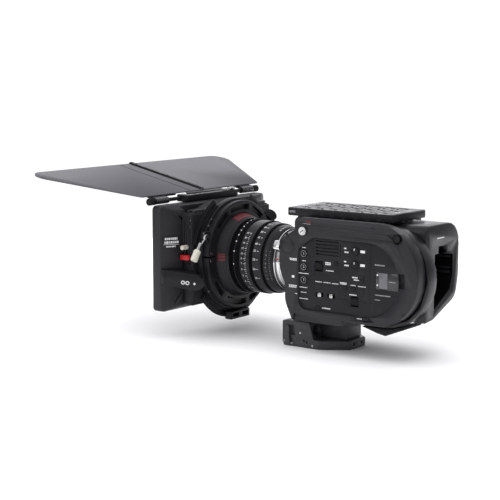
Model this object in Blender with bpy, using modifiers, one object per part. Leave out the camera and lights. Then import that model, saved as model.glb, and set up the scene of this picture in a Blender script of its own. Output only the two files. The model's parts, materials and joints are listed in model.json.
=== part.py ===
"""Cinema camera rig: camera body, zoom lens, clamp-on matte box with top flag, top plate and base.

World axes: +X is the operator's side of the camera, -Y is where the lens points, +Z is up. The
origin is in the middle of the base's foot. Sizes are in millimetres. Heights are measured from
the lens axis, AXIS_HEIGHT over the floor, and y from the camera's lens mount, FOOT_Y in front
of the foot's middle. Every piece is turned into metres as it is made.
"""

import math

import bmesh
import bpy
from mathutils import Matrix, Vector

MM = 0.001
AXIS_HEIGHT = 107.0
GAP = 0.3
ROUND = 36

# Camera body, seen from its side as (y, height).
LEFT_FACE = 65.0
LEFT_SEAM = 45.0
RIGHT_SEAM = 25.0
RIGHT_FACE = -60.0
BODY_FRONT = 12.0
HOUSING_FRONT = 8.0
HOUSING_REAR = 149.7
HOUSING_TOP = 62.0
HOUSING_BOTTOM = -62.0
WALL = 3.5
REAR_RADIUS = 60.0

# Battery end.
SHELL_REAR = 205.0
BAY_DEPTH = 48.0

# Control panel and door, set into the left cover.
POCKET_FLOOR = 61.0
PANEL_FACE = 62.9
DOOR_FACE = 63.2
DOOR_SPLIT = 149.1
BUTTON_FACE = 64.2
COVER_WALL = 58.0

ASSIGN_Y = 50.0
ASSIGN_HEIGHTS = (20.8, 3.8, -12.8)
BUTTON_RADIUS = 5.0
REC_PLACE = (48.3, 49.5)
REC_RADIUS = 5.5
REC_FACE = LEFT_FACE + 1.4
DIAL_Y = 126.0
DIAL_HEIGHTS = (30.0, 12.8)
DIAL_RADIUS = 6.0
ND_PLACE = (72.4, 6.4)
SELECT_PLACE = (126.5, -33.5)
KEY_HEIGHT = -17.8
KEY_PLACES = (112.0, 124.5)
KEY_HALF_WIDTH = 3.6
SWITCH_HEIGHT = -30.0
SWITCH_PLACES = (74.0, 91.5)
SWITCH_TRAVEL = 3.0
VENT_Y = (68.0, 102.5)
VENT_HEIGHTS = (22.0, 26.2, 30.4, 34.6, 38.8)

# Top plate.
PLATE_HALF_WIDTH = 41.0
PLATE_Y = (8.7, 166.3)
PLATE_TOP = 75.5
PLATE_BOTTOM = 65.0
PLATE_ROWS = [27.0 + 20.0 * row for row in range(7)]
PLATE_COLUMNS = (-26.0, 0.0, 26.0)
PLATE_HOLE = 2.6

# Lens, as distances along the axis from the camera's mount.
MOUNT_FACE = 7.7
ADAPTER_FRONT = -3.3
LENS_FLANGE = -11.0
IRIS_REAR = -14.8
IRIS_FRONT = -31.0
ZOOM_FRONT = -48.5
FOCUS_FRONT = -81.0
BARREL_REAR = -81.3
CLAMP_REAR = -97.0
CLAMP_FRONT = -105.7
STAGE_RING_FRONT = -113.7
BARREL_FRONT = -112.0
CORE_RADIUS = 39.0
BARREL_RADIUS = 56.7

# Matte box.
HOOD_FRONT = -158.6
HOOD_RIM = -145.0
HOOD_HALF_WIDTH = 115.5
HOOD_TOP = 72.5
HOOD_BOTTOM = -69.6
HOOD_WALL = 3.0
STAGE_HALF_WIDTH = 86.0
STAGE_HALF_HEIGHT = 62.0
STAGE_FRONT = -130.7
STAGE_REAR = -114.0
SLOT_FRONTS = (-129.2, -121.0)
SLOT_DEPTH = 5.5
TRAY_HALF_WIDTH = 80.0
TRAY_BOTTOM = -57.5
TRAY_TOP = 66.0
GATE_HALF_WIDTH = 72.0
GATE_HALF_HEIGHT = 51.0
STAGE_OPENING = 60.0
RING_RADIUS = 77.0
CLAMP_RADIUS = 74.0
CLAMP_BORE = 57.0
LEVER_Y = -98.6

# Flag, hinged on a rod over the front of the hood.
HINGE_Y = -161.0
HINGE_HEIGHT = 77.5
HINGE_EAR = 4.7
FLAG_OFFSET = 5.2
FLAG_TILT = math.radians(12.4)
FLAG_START = 5.5
FLAG_END = 143.0
FLAG_REAR_HALF_WIDTH = 128.4
FLAG_FRONT_HALF_WIDTH = 217.5
FLAG_CORNER = 18.5
FLAG_THICKNESS = 1.5

# Base.
FLOOR = -AXIS_HEIGHT
BASE_HALF_WIDTH = 42.0
BASE_Y = (2.0, 92.0)
FOOT_Y = sum(BASE_Y) / 2
ROD_SPACING = 60.0
ROD_HEIGHT = -85.0
ROD_BORE = 7.7
PAD_WIDTH = (-4.5, 40.0)


def clear_scene():
    for obj in list(bpy.data.objects):
        bpy.data.objects.remove(obj, do_unlink=True)


def new_collection(name):
    made = bpy.data.collections.new(name)
    bpy.context.scene.collection.children.link(made)
    return made


clear_scene()
PARTS = new_collection("cinema_camera_rig")
CUTTERS = new_collection("cutters")

MATERIALS = {
    "body_black": ((0.045, 0.045, 0.050), 0.55, 0.0),
    "panel_black": ((0.030, 0.030, 0.034), 0.50, 0.0),
    "anodised_black": ((0.030, 0.030, 0.032), 0.40, 0.6),
    "lens_black": ((0.025, 0.025, 0.028), 0.35, 0.5),
    "rubber_black": ((0.020, 0.020, 0.020), 0.80, 0.0),
    "flag_grey": ((0.120, 0.125, 0.130), 0.60, 0.0),
    "chrome": ((0.800, 0.800, 0.800), 0.12, 1.0),
    "silver": ((0.720, 0.720, 0.700), 0.30, 1.0),
    "lever_red": ((0.650, 0.030, 0.020), 0.40, 0.2),
    "glass": ((0.550, 0.600, 0.620), 0.05, 0.0),
    "board_green": ((0.030, 0.160, 0.070), 0.50, 0.0),
}


def finish_of(kind):
    found = bpy.data.materials.get(kind)
    if found:
        return found
    colour, roughness, metallic = MATERIALS[kind]
    made = bpy.data.materials.new(kind)
    made.use_nodes = True
    shader = made.node_tree.nodes["Principled BSDF"]
    shader.inputs["Base Color"].default_value = (*colour, 1.0)
    shader.inputs["Roughness"].default_value = roughness
    shader.inputs["Metallic"].default_value = metallic
    return made


def world(x, y, height):
    """A point in metres from millimetres, with y from the lens mount and height from the lens axis."""
    return Vector((x, y - FOOT_Y, height + AXIS_HEIGHT)) * MM


def add_mesh(name, bm, kind=None):
    """The bmesh as an object: a part of this material, or a cutter if it has none."""
    mesh = bpy.data.meshes.new(name)
    bm.to_mesh(mesh)
    bm.free()
    obj = bpy.data.objects.new(name, mesh)
    if kind:
        PARTS.objects.link(obj)
        mesh.materials.append(finish_of(kind))
        mesh.shade_smooth()
        mesh.set_sharp_from_angle(angle=math.radians(35))
    else:
        CUTTERS.objects.link(obj)
        obj.hide_render = True
        obj.display_type = "WIRE"
    return obj


def block(name, x, y, height, kind=None):
    """A box between three pairs of limits."""
    low = world(x[0], y[0], height[0])
    high = world(x[1], y[1], height[1])
    bm = bmesh.new()
    bmesh.ops.create_cube(bm, size=1.0)
    bmesh.ops.scale(bm, vec=high - low, verts=bm.verts)
    bmesh.ops.translate(bm, vec=(low + high) / 2, verts=bm.verts)
    return add_mesh(name, bm, kind)


def rod(name, radius, start, end, kind=None, sides=24):
    """A cylinder from one point to another, each (x, y, height)."""
    low, high = world(*start), world(*end)
    along = high - low
    turn = Vector((0, 0, 1)).rotation_difference(along).to_matrix().to_4x4()
    bm = bmesh.new()
    bmesh.ops.create_cone(
        bm, cap_ends=True, segments=sides, depth=along.length,
        radius1=radius * MM, radius2=radius * MM,
        matrix=Matrix.Translation((low + high) / 2) @ turn,
    )
    return add_mesh(name, bm, kind)


def baked(obj, name, kind):
    """The evaluated shape of an object, welded, as a plain mesh in its place."""
    graph = bpy.context.evaluated_depsgraph_get()
    mesh = bpy.data.meshes.new_from_object(obj.evaluated_get(graph))
    bm = bmesh.new()
    bm.from_mesh(mesh)
    bm.transform(obj.matrix_world)
    bmesh.ops.remove_doubles(bm, verts=bm.verts, dist=1e-6)
    bmesh.ops.dissolve_limit(bm, angle_limit=math.radians(0.5), verts=bm.verts, edges=bm.edges)
    bmesh.ops.recalc_face_normals(bm, faces=bm.faces)
    bpy.data.objects.remove(obj, do_unlink=True)
    bpy.data.meshes.remove(mesh)
    return add_mesh(name, bm, kind)


# Where an outline's two axes and its thickness lie in the world.
FACINGS = {
    "X": Matrix(((0, 0, 1, 0), (1, 0, 0, 0), (0, 1, 0, 0), (0, 0, 0, 1))),
    "Y": Matrix(((1, 0, 0, 0), (0, 0, -1, 0), (0, 1, 0, 0), (0, 0, 0, 1))),
    "Z": Matrix.Identity(4),
}


def extruded(name, outline, facing, limits, kind=None):
    """A flat outline made solid between two limits along an axis.

    An outline facing X holds (y, height) points, one facing Y (x, height), one facing Z (x, y).
    """
    curve = bpy.data.curves.new(name, "CURVE")
    curve.dimensions = "2D"
    curve.fill_mode = "BOTH"
    curve.extrude = abs(limits[1] - limits[0]) / 2 * MM
    spline = curve.splines.new("POLY")
    spline.points.add(len(outline) - 1)
    for point, (u, v) in zip(spline.points, outline):
        point.co = (u * MM, v * MM, 0.0, 1.0)
    spline.use_cyclic_u = True
    guide = bpy.data.objects.new(name + "_outline", curve)
    bpy.context.scene.collection.objects.link(guide)
    middle = (limits[0] + limits[1]) / 2
    offset = {"X": world(middle, 0, 0), "Y": world(0, middle, 0), "Z": world(0, 0, middle)}
    guide.matrix_world = Matrix.Translation(offset[facing]) @ FACINGS[facing]
    bpy.context.view_layer.update()
    return baked(guide, name, kind)


def turned(name, profile, kind=None, sides=ROUND, centre=(0.0, 0.0)):
    """A closed (radius, y) profile, its outer side listed from rear to front, about the lens axis."""
    bm = bmesh.new()
    corners = [bm.verts.new((radius * MM, 0, y * MM)) for radius, y in profile]
    for first, second in zip(corners, corners[1:] + corners[:1]):
        bm.edges.new((first, second))
    mesh = bpy.data.meshes.new(name)
    bm.to_mesh(mesh)
    bm.free()
    guide = bpy.data.objects.new(name + "_profile", mesh)
    bpy.context.scene.collection.objects.link(guide)
    screw = guide.modifiers.new("turn", "SCREW")
    screw.axis = "Z"
    screw.steps = sides
    screw.render_steps = sides
    screw.use_merge_vertices = True
    screw.merge_threshold = 0.00001
    guide.matrix_world = (
        Matrix.Translation(world(centre[0], 0, centre[1]))
        @ Matrix.Rotation(math.radians(-90), 4, "X")
    )
    bpy.context.view_layer.update()
    return baked(guide, name, kind)


def rounded(corners, step=18.0):
    """An outline from (u, v, radius) corners, each corner an arc with a point every step degrees."""
    outline = []
    for i, (u, v, radius) in enumerate(corners):
        here = Vector((u, v))
        before = (Vector(corners[i - 1][:2]) - here).normalized()
        after = (Vector(corners[(i + 1) % len(corners)][:2]) - here).normalized()
        if radius <= 0:
            outline.append((u, v))
            continue
        half = before.angle(after) / 2
        centre = here + (before + after).normalized() * radius / math.sin(half)
        start = here + before * radius / math.tan(half) - centre
        end = here + after * radius / math.tan(half) - centre
        sweep = start.angle_signed(end)
        count = max(1, round(abs(math.degrees(sweep)) / step))
        for k in range(count + 1):
            spin = Matrix.Rotation(-sweep * k / count, 2)
            point = centre + spin @ start
            outline.append((point.x, point.y))
    return outline


def softened(obj, width, segments=2, angle=40.0):
    bevel = obj.modifiers.new("rounded edges", "BEVEL")
    bevel.width = width * MM
    bevel.segments = segments
    bevel.limit_method = "ANGLE"
    bevel.angle_limit = math.radians(angle)
    bevel.use_clamp_overlap = True
    return obj


def combined(obj, operation, others):
    for other in others:
        step = obj.modifiers.new(other.name, "BOOLEAN")
        step.operation = operation
        step.solver = "EXACT"
        step.object = other
    return obj


def cut(obj, *cutters):
    return combined(obj, "DIFFERENCE", cutters)


def joined(obj, *others):
    return combined(obj, "UNION", others)


def pivoted(obj, x, y, height):
    """Moves the object's origin onto its joint without moving its shape."""
    pivot = world(x, y, height)
    obj.data.transform(Matrix.Translation(-pivot))
    obj.location = pivot
    return obj


# ---------------------------------------------------------------- camera body


def side_outline(grow=0.0, rear_grow=0.0, top=66.0):
    """The body seen from its side: a stepped front and a round rear."""
    rear = 217.0 + grow + rear_grow
    low = -61.0 - grow - rear_grow
    radius = min(REAR_RADIUS + grow + rear_grow, (top + grow - low) / 2 - 1)
    return rounded([
        (36 - grow, top + grow, 7),
        (36 - grow, 50.5 + grow * 0.56, 3),
        (BODY_FRONT - grow, 36.5 + grow * 0.56, 5),
        (BODY_FRONT - grow, 0, 14),
        (20.5 - grow, -20, 14),
        (21 - grow, -43, 22),
        (32 - grow * 0.6, -67 - grow, 5),
        (108, -67 - grow, 6),
        (117, low, 2),
        (rear, low, radius),
        (rear, top + grow, radius),
    ], step=12.0)


def panel_outline(inset=0.0):
    """The recessed control panel and, behind its split line, the door."""
    low_y, high_y = 41.5 + inset, 190.5 - inset
    top, bottom = 42.5 - inset, -51.5 + inset
    return rounded([
        (low_y, 26.5, 5), (64.5, top, 8), (high_y, top, 46 - inset),
        (high_y, bottom, 46 - inset), (low_y, bottom, 14 - inset),
    ], step=15.0)


def control_holes(prefix, x_limits, clearance):
    """Cutters for every control that comes through the panel and the cover behind it."""
    cutters = []
    x0, x1 = x_limits
    for i, height in enumerate(ASSIGN_HEIGHTS):
        cutters.append(rod(f"{prefix}_assign_{i}", BUTTON_RADIUS + clearance,
                           (x0, ASSIGN_Y, height), (x1, ASSIGN_Y, height)))
    for i, height in enumerate(DIAL_HEIGHTS):
        cutters.append(rod(f"{prefix}_dial_{i}", DIAL_RADIUS + clearance,
                           (x0, DIAL_Y, height), (x1, DIAL_Y, height)))
    for i, y in enumerate(KEY_PLACES):
        cutters.append(block(f"{prefix}_key_{i}", x_limits,
                             (y - KEY_HALF_WIDTH - clearance, y + KEY_HALF_WIDTH + clearance),
                             (KEY_HEIGHT - 2.5 - clearance, KEY_HEIGHT + 2.5 + clearance)))
    for i, y in enumerate(SWITCH_PLACES):
        cutters.append(block(f"{prefix}_switch_{i}", x_limits,
                             (y - 2.5 - SWITCH_TRAVEL - clearance, y + 2.5 + SWITCH_TRAVEL + clearance),
                             (SWITCH_HEIGHT - 2.5 - clearance, SWITCH_HEIGHT + 2.5 + clearance)))
    for label, (y, height) in (("nd", ND_PLACE), ("select", SELECT_PLACE)):
        cutters.append(block(f"{prefix}_{label}", x_limits,
                             (y - 5.5 - clearance, y + 5.5 + clearance),
                             (height - 6.5 - clearance, height + 6.5 + clearance)))
    for i, height in enumerate(VENT_HEIGHTS):
        cutters.append(block(f"{prefix}_vent_{i}", x_limits, VENT_Y, (height - 1.1, height + 1.1)))
    return cutters


def left_cover():
    cover = extruded("left_cover", side_outline(), "X", (LEFT_SEAM + GAP, LEFT_FACE), "body_black")
    softened(cover, 2.5, 2, angle=50.0)
    hollow = extruded("left_cover_hollow", side_outline(grow=-4.0), "X", (LEFT_SEAM - 1, COVER_WALL))
    pocket = extruded("panel_pocket", panel_outline(), "X", (POCKET_FLOOR, LEFT_FACE + 1))
    notch = block("door_notch", (POCKET_FLOOR - 1, LEFT_FACE + 1), (188.5, 199), (-10.5, 8))
    cards = [
        block(f"card_slot_{i}", (COVER_WALL - 1, POCKET_FLOOR + 1), (160, 184), (height - 2, height + 2))
        for i, height in enumerate((8.0, -8.0))
    ]
    rec_hole = rod("rec_hole", REC_RADIUS + GAP, (COVER_WALL - 1, *REC_PLACE), (LEFT_FACE + 1, *REC_PLACE))
    holes = control_holes("cover", (COVER_WALL - 1, POCKET_FLOOR + 1), GAP)
    return cut(cover, hollow, pocket, notch, rec_hole, *cards, *holes)


def control_panel():
    panel = extruded("control_panel", panel_outline(inset=0.4), "X",
                     (POCKET_FLOOR + GAP, PANEL_FACE), "panel_black")
    rear = block("behind_split", (55, 70), (DOOR_SPLIT - GAP, 220), (-80, 80))
    return cut(panel, rear, *control_holes("panel", (POCKET_FLOOR - 1, PANEL_FACE + 1), GAP))


def media_door():
    door = extruded("media_door", panel_outline(inset=0.4), "X",
                    (POCKET_FLOOR + GAP, DOOR_FACE), "panel_black")
    pivoted(door, DOOR_FACE, DOOR_SPLIT + GAP, 0)
    return cut(door, block("before_split", (55, 70), (30, DOOR_SPLIT + GAP), (-80, 80)))


def mid_frame():
    frame = extruded("mid_frame", side_outline(grow=-0.5, rear_grow=5.0, top=62.5), "X",
                     (RIGHT_SEAM + GAP, LEFT_SEAM), "body_black")
    softened(frame, 1.5, 2, angle=50.0)
    hollow = extruded("mid_frame_hollow", side_outline(grow=-4.5, rear_grow=4.0, top=62.5), "X",
                      (RIGHT_SEAM + WALL, LEFT_SEAM + 1))
    window = block("mid_frame_window", (RIGHT_SEAM - 1, RIGHT_SEAM + WALL + 1), (24, 142), (-50, 52))
    return cut(frame, hollow, window)


def right_cover():
    outline = rounded([
        (HOUSING_FRONT, HOUSING_TOP, 8),
        (HOUSING_FRONT, HOUSING_BOTTOM, 12),
        (HOUSING_REAR, HOUSING_BOTTOM, 2),
        (HOUSING_REAR, HOUSING_TOP, 2),
    ])
    cover = extruded("right_cover", outline, "X", (RIGHT_FACE, RIGHT_SEAM), "body_black")
    softened(cover, 1.6, 2, angle=50.0)
    hollow = block("right_cover_hollow", (RIGHT_FACE + WALL, RIGHT_SEAM + 1),
                   (HOUSING_FRONT + 4, HOUSING_REAR - WALL), (HOUSING_BOTTOM + 4, HOUSING_TOP - 4))
    throat = rod("throat", 23.0, (0, HOUSING_FRONT - 1, 0), (0, HOUSING_FRONT + 5, 0))
    return cut(cover, hollow, throat)


def battery_shell():
    outer = rounded([
        (RIGHT_SEAM - GAP, 62.5, 10),
        (RIGHT_FACE, 62.5, 28),
        (RIGHT_FACE, -4, 20),
        (-54, -34, 20),
        (4, -57, 12),
        (RIGHT_SEAM - GAP, -59, 3),
    ])
    shell = extruded("battery_shell", outer, "Y", (HOUSING_REAR + GAP, SHELL_REAR), "body_black")
    softened(shell, 2.0, 2, angle=50.0)
    inner = rounded([
        (3, 26, 2),
        (-44, 26, 8),
        (-44, -6, 12),
        (-36, -24, 8),
        (3, -45, 2),
    ])
    bay = extruded("battery_bay", inner, "Y", (SHELL_REAR - BAY_DEPTH, SHELL_REAR + 1))
    notch = block("bay_notch", (-28, -6), (SHELL_REAR - 16, SHELL_REAR + 1), (25, 35))
    return cut(shell, bay, notch)


def battery_contacts():
    """The terminal block that stands in the bay."""
    back = SHELL_REAR - BAY_DEPTH + GAP
    contacts = block("battery_contacts", (-27, -7), (back, back + 9), (-29, 6), "panel_black")
    return softened(contacts, 0.8, 1)


def top_plate():
    plate = block("top_plate", (-PLATE_HALF_WIDTH, PLATE_HALF_WIDTH), PLATE_Y,
                  (PLATE_BOTTOM, PLATE_TOP), "anodised_black")
    softened(plate, 1.2, 1)
    riser = block("plate_riser", (-34, 34), (20, 152), (HOUSING_TOP + 0.9, PLATE_BOTTOM + 1))
    joined(plate, riser)
    holes = []
    for i, y in enumerate(PLATE_ROWS):
        for k, x in enumerate(PLATE_COLUMNS):
            holes.append(rod(f"plate_hole_{i}_{k}", PLATE_HOLE, (x, y, 55), (x, y, 80), sides=12))
    return cut(plate, *holes)


def controls():
    """Buttons, dials, wheels and switches of the control panel."""
    inner = COVER_WALL + 0.5
    for i, height in enumerate(ASSIGN_HEIGHTS):
        button = rod(f"assign_button_{i + 1}", BUTTON_RADIUS, (inner, ASSIGN_Y, height),
                     (BUTTON_FACE, ASSIGN_Y, height), "rubber_black", sides=20)
        softened(pivoted(button, BUTTON_FACE, ASSIGN_Y, height), 0.5, 1)
    rec = rod("record_button", REC_RADIUS, (inner, *REC_PLACE), (REC_FACE, *REC_PLACE), "silver", sides=20)
    softened(pivoted(rec, REC_FACE, *REC_PLACE), 0.6, 1)
    for i, height in enumerate(DIAL_HEIGHTS):
        dial = rod(f"audio_dial_{i + 1}", DIAL_RADIUS, (inner, DIAL_Y, height),
                   (BUTTON_FACE + 0.4, DIAL_Y, height), "rubber_black", sides=20)
        softened(pivoted(dial, inner, DIAL_Y, height), 0.5, 1)
    for i, y in enumerate(KEY_PLACES):
        key = block(f"menu_key_{i + 1}", (inner, 63.8), (y - KEY_HALF_WIDTH, y + KEY_HALF_WIDTH),
                    (KEY_HEIGHT - 2.5, KEY_HEIGHT + 2.5), "rubber_black")
        softened(pivoted(key, 63.8, y, KEY_HEIGHT), 0.5, 1)
    for name, y in zip(("gain_switch", "white_balance_switch"), SWITCH_PLACES):
        switch = block(name, (inner, 63.6), (y - 2.5, y + 2.5),
                       (SWITCH_HEIGHT - 2.5, SWITCH_HEIGHT + 2.5), "silver")
        softened(pivoted(switch, 63.6, y, SWITCH_HEIGHT), 0.5, 1)
    for name, (y, height) in (("nd_wheel", ND_PLACE), ("select_wheel", SELECT_PLACE)):
        wheel = rod(name, 6.0, (57.8, y - 5, height), (57.8, y + 5, height), "rubber_black", sides=24)
        softened(pivoted(wheel, 57.8, y, height), 0.6, 1)


# ---------------------------------------------------------------- inside the body


def inside():
    softened(block("image_sensor", (-17, 17), (28, 36), (-12, 12), "board_green"), 0.5, 1)
    board = block("main_board", (33, 35), (40, 190), (-38, 44), "board_green")
    for i in range(3):
        chip = block(f"chip_{i}", (34, 38), (60 + 40 * i, 78 + 40 * i), (-24, -6))
        joined(board, chip)
    turret = turned("nd_turret", [(40, 21), (40, 18), (3, 18), (3, 21)], "anodised_black",
                    sides=32, centre=(-16.0, 17.0))
    windows = []
    for i in range(4):
        angle = math.radians(90 * i) + math.atan2(-17.0, 16.0)
        x = -16.0 + 23.35 * math.cos(angle)
        height = 17.0 + 23.35 * math.sin(angle)
        windows.append(rod(f"turret_window_{i}", 13.0, (x, 17, height), (x, 22, height)))
    cut(pivoted(turret, -16, 19.5, 17), *windows)


# ---------------------------------------------------------------- lens


def lens():
    turned("lens_front_barrel", [
        (51.0, BARREL_REAR), (BARREL_RADIUS, CLAMP_REAR), (BARREL_RADIUS, BARREL_FRONT),
        (54.0, BARREL_FRONT), (48.0, -100.0), (48.0, -90.0), (42.0, -90.0), (42.0, BARREL_REAR),
    ], "lens_black")
    turned("front_element", [(46.0, -92.0), (46.0, -95.0), (34.0, -99.5), (18.0, -102.5), (0.0, -103.5),
                             (0.0, -92.0)], "glass", sides=32)
    turned("focus_ring", [
        (49.2, ZOOM_FRONT - GAP), (49.2, -64.5), (50.0, -65.0), (50.0, -72.0), (51.0, -72.5),
        (51.0, FOCUS_FRONT), (CORE_RADIUS + GAP, FOCUS_FRONT), (CORE_RADIUS + GAP, ZOOM_FRONT - GAP),
    ], "lens_black")
    turned("zoom_ring", [
        (47.8, IRIS_FRONT - GAP), (48.0, -44.0), (49.4, -44.4), (49.4, ZOOM_FRONT),
        (CORE_RADIUS + GAP, ZOOM_FRONT), (CORE_RADIUS + GAP, IRIS_FRONT - GAP),
    ], "lens_black")
    turned("iris_ring", [
        (43.0, IRIS_REAR), (45.3, -26.0), (47.0, -26.4), (47.0, IRIS_FRONT),
        (CORE_RADIUS + GAP, IRIS_FRONT), (CORE_RADIUS + GAP, IRIS_REAR),
    ], "lens_black")
    turned("lens_core", [
        (42.5, LENS_FLANGE - GAP), (42.5, IRIS_REAR + GAP), (CORE_RADIUS, IRIS_REAR + GAP),
        (CORE_RADIUS, FOCUS_FRONT), (36.0, FOCUS_FRONT), (36.0, -24.0), (24.0, -16.0),
        (24.0, LENS_FLANGE - GAP),
    ], "lens_black")
    turned("zoom_group", [(35.0, -52.0), (35.0, -62.0), (20.0, -65.0), (0.0, -66.0), (0.0, -52.0)],
           "glass", sides=32)
    turned("iris_diaphragm", [(34.0, -34.0), (34.0, -35.2), (15.0, -35.2), (15.0, -34.0)],
           "anodised_black", sides=32)


def camera_mount():
    turned("lens_mount_flange", [
        (35.0, ADAPTER_FRONT - GAP), (35.0, LENS_FLANGE), (23.0, LENS_FLANGE),
        (23.0, ADAPTER_FRONT - GAP),
    ], "chrome")
    ring = turned("mount_lock_ring", [
        (39.3, ADAPTER_FRONT - GAP), (39.3, LENS_FLANGE), (35.4, LENS_FLANGE),
        (35.4, ADAPTER_FRONT - GAP),
    ], "chrome")
    for i in range(2):
        angle = math.radians(32 + 180 * i)
        reach = [(math.cos(angle) * r, math.sin(angle) * r) for r in (37.5, 48.0)]
        lug = rod(f"lock_lug_{i}", 4.5, (reach[0][0], -7.2, reach[0][1]),
                  (reach[1][0], -7.2, reach[1][1]), sides=12)
        flat = block(f"lug_faces_{i}", (-60, 60), (-10.9, -3.7), (-60, 60))
        combined(lug, "INTERSECT", [flat])
        joined(ring, lug)
    pivoted(ring, 0, -7, 0)
    turned("mount_adapter", [
        (38.0, MOUNT_FACE), (38.0, 4.0), (33.0, 3.7), (33.0, 0.7), (38.0, 0.4), (38.0, ADAPTER_FRONT),
        (23.0, ADAPTER_FRONT), (23.0, MOUNT_FACE),
    ], "anodised_black")
    lever = turned("mount_lever", [(38.0, 3.3), (38.0, 1.1), (33.4, 1.1), (33.4, 3.3)], "panel_black")
    angle = math.radians(30)
    start = (math.cos(angle) * 36, 2.2, math.sin(angle) * 36)
    end = (math.cos(angle) * 47, 2.2, math.sin(angle) * 47)
    arm = rod("lever_arm", 4.5, start, end, sides=16)
    flat = block("lever_faces", (-60, 60), (-2.9, 7.0), (-60, 60))
    combined(arm, "INTERSECT", [flat])
    collar = turned("lever_collar", [(39.0, 8.5), (39.0, -5.0), (20.0, -5.0), (20.0, 8.5)])
    band = block("lever_band", (20, 42), (1.2, 3.2), (10, 30))
    cut(arm, collar)
    combined(band, "INTERSECT", [rod("lever_band_disc", 40.5, (0, 0, 0), (0, 5, 0))])
    cut(band, rod("lever_band_bore", 35.0, (0, -1, 0), (0, 6, 0)))
    joined(lever, band, arm)
    pivoted(lever, 0, 2.2, 0)


# ---------------------------------------------------------------- matte box


def rectangle_loop(bm, y, half_width, top, bottom, radius):
    outline = rounded([
        (-half_width, top, radius), (-half_width, bottom, radius),
        (half_width, bottom, radius), (half_width, top, radius),
    ], step=30.0)
    return [bm.verts.new(world(x, y, height)) for x, height in outline]


def hood():
    """A rectangular rim that narrows to the filter stage: one open surface made a shell."""
    bm = bmesh.new()
    loops = [
        rectangle_loop(bm, HOOD_FRONT, HOOD_HALF_WIDTH, HOOD_TOP, HOOD_BOTTOM, 6),
        rectangle_loop(bm, HOOD_RIM, HOOD_HALF_WIDTH, HOOD_TOP, HOOD_BOTTOM, 6),
        rectangle_loop(bm, STAGE_FRONT - GAP, STAGE_HALF_WIDTH, STAGE_HALF_HEIGHT, -STAGE_HALF_HEIGHT, 6),
        rectangle_loop(bm, STAGE_FRONT - GAP, GATE_HALF_WIDTH, GATE_HALF_HEIGHT, -GATE_HALF_HEIGHT, 6),
    ]
    for first, second in zip(loops, loops[1:]):
        count = len(first)
        for k in range(count):
            n = (k + 1) % count
            bm.faces.new((first[k], first[n], second[n], second[k]))
    bmesh.ops.recalc_face_normals(bm, faces=bm.faces)
    shell = add_mesh("hood", bm, "body_black")
    solid = shell.modifiers.new("wall", "SOLIDIFY")
    solid.thickness = HOOD_WALL * MM
    solid.offset = -1.0
    solid.use_even_offset = True
    return shell


def filter_stage():
    stage = block("filter_stage", (-STAGE_HALF_WIDTH, STAGE_HALF_WIDTH), (STAGE_FRONT, STAGE_REAR),
                  (-STAGE_HALF_HEIGHT, STAGE_HALF_HEIGHT), "body_black")
    softened(stage, 2.0, 1)
    gate = block("stage_gate", (-GATE_HALF_WIDTH, GATE_HALF_WIDTH), (STAGE_FRONT - 1, STAGE_REAR - 1.6),
                 (-GATE_HALF_HEIGHT, GATE_HALF_HEIGHT))
    opening = rod("stage_opening", STAGE_OPENING, (0, STAGE_REAR - 4, 0), (0, STAGE_REAR + 1, 0), sides=36)
    slots = [
        block(f"tray_slot_{i}", (-TRAY_HALF_WIDTH - 0.5, TRAY_HALF_WIDTH + 0.5),
              (front, front + SLOT_DEPTH), (TRAY_BOTTOM - 0.5, STAGE_HALF_HEIGHT + 1))
        for i, front in enumerate(SLOT_FRONTS)
    ]
    return cut(stage, gate, opening, *slots)


def filter_trays():
    for name, front in zip(("front_filter_tray", "rear_filter_tray"), SLOT_FRONTS):
        y = (front + 0.5, front + SLOT_DEPTH - 0.5)
        tray = block(name, (-TRAY_HALF_WIDTH, TRAY_HALF_WIDTH), y, (TRAY_BOTTOM, TRAY_TOP), "anodised_black")
        window = block(name + "_window", (-GATE_HALF_WIDTH, GATE_HALF_WIDTH), (y[0] - 1, y[1] + 1),
                       (-GATE_HALF_HEIGHT, GATE_HALF_HEIGHT))
        cut(tray, window)


def stage_ring():
    """The round back of the stage, which turns the box upright on the lens."""
    return turned("stage_ring", [
        (RING_RADIUS - 1, CLAMP_FRONT - GAP), (RING_RADIUS, CLAMP_FRONT - 1.5),
        (RING_RADIUS, STAGE_RING_FRONT), (58.5, STAGE_RING_FRONT), (58.5, CLAMP_FRONT - GAP),
    ], "anodised_black", sides=48)


def clamp_ring():
    """The split ring that grips the lens front, with windows between its inner and outer rims."""
    ring = turned("clamp_ring", [
        (CLAMP_RADIUS - 1, CLAMP_REAR), (CLAMP_RADIUS, CLAMP_REAR - 1), (CLAMP_RADIUS, CLAMP_FRONT),
        (CLAMP_BORE, CLAMP_FRONT), (CLAMP_BORE, CLAMP_REAR),
    ], "anodised_black", sides=48)
    split = block("ring_split", (50, 80), (CLAMP_FRONT - 1, CLAMP_REAR + 1), (2.2, 4.6))
    windows = []
    for i, (start, end) in enumerate(((38, 62), (68, 104), (110, 134), (225, 255), (262, 300), (310, 332))):
        steps = 4
        angles = [math.radians(start + (end - start) * k / steps) for k in range(steps + 1)]
        outline = [(math.cos(a) * 69.5, math.sin(a) * 69.5) for a in angles]
        outline += [(math.cos(a) * 62.0, math.sin(a) * 62.0) for a in reversed(angles)]
        windows.append(extruded(f"ring_window_{i}", outline, "Y", (CLAMP_REAR - 5.5, CLAMP_REAR + 1)))
    lug = block("lever_lug", (60, 79), (CLAMP_FRONT + 0.7, CLAMP_REAR - 4), (24, 38))
    joined(ring, lug)
    return cut(ring, split, *windows)


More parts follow.
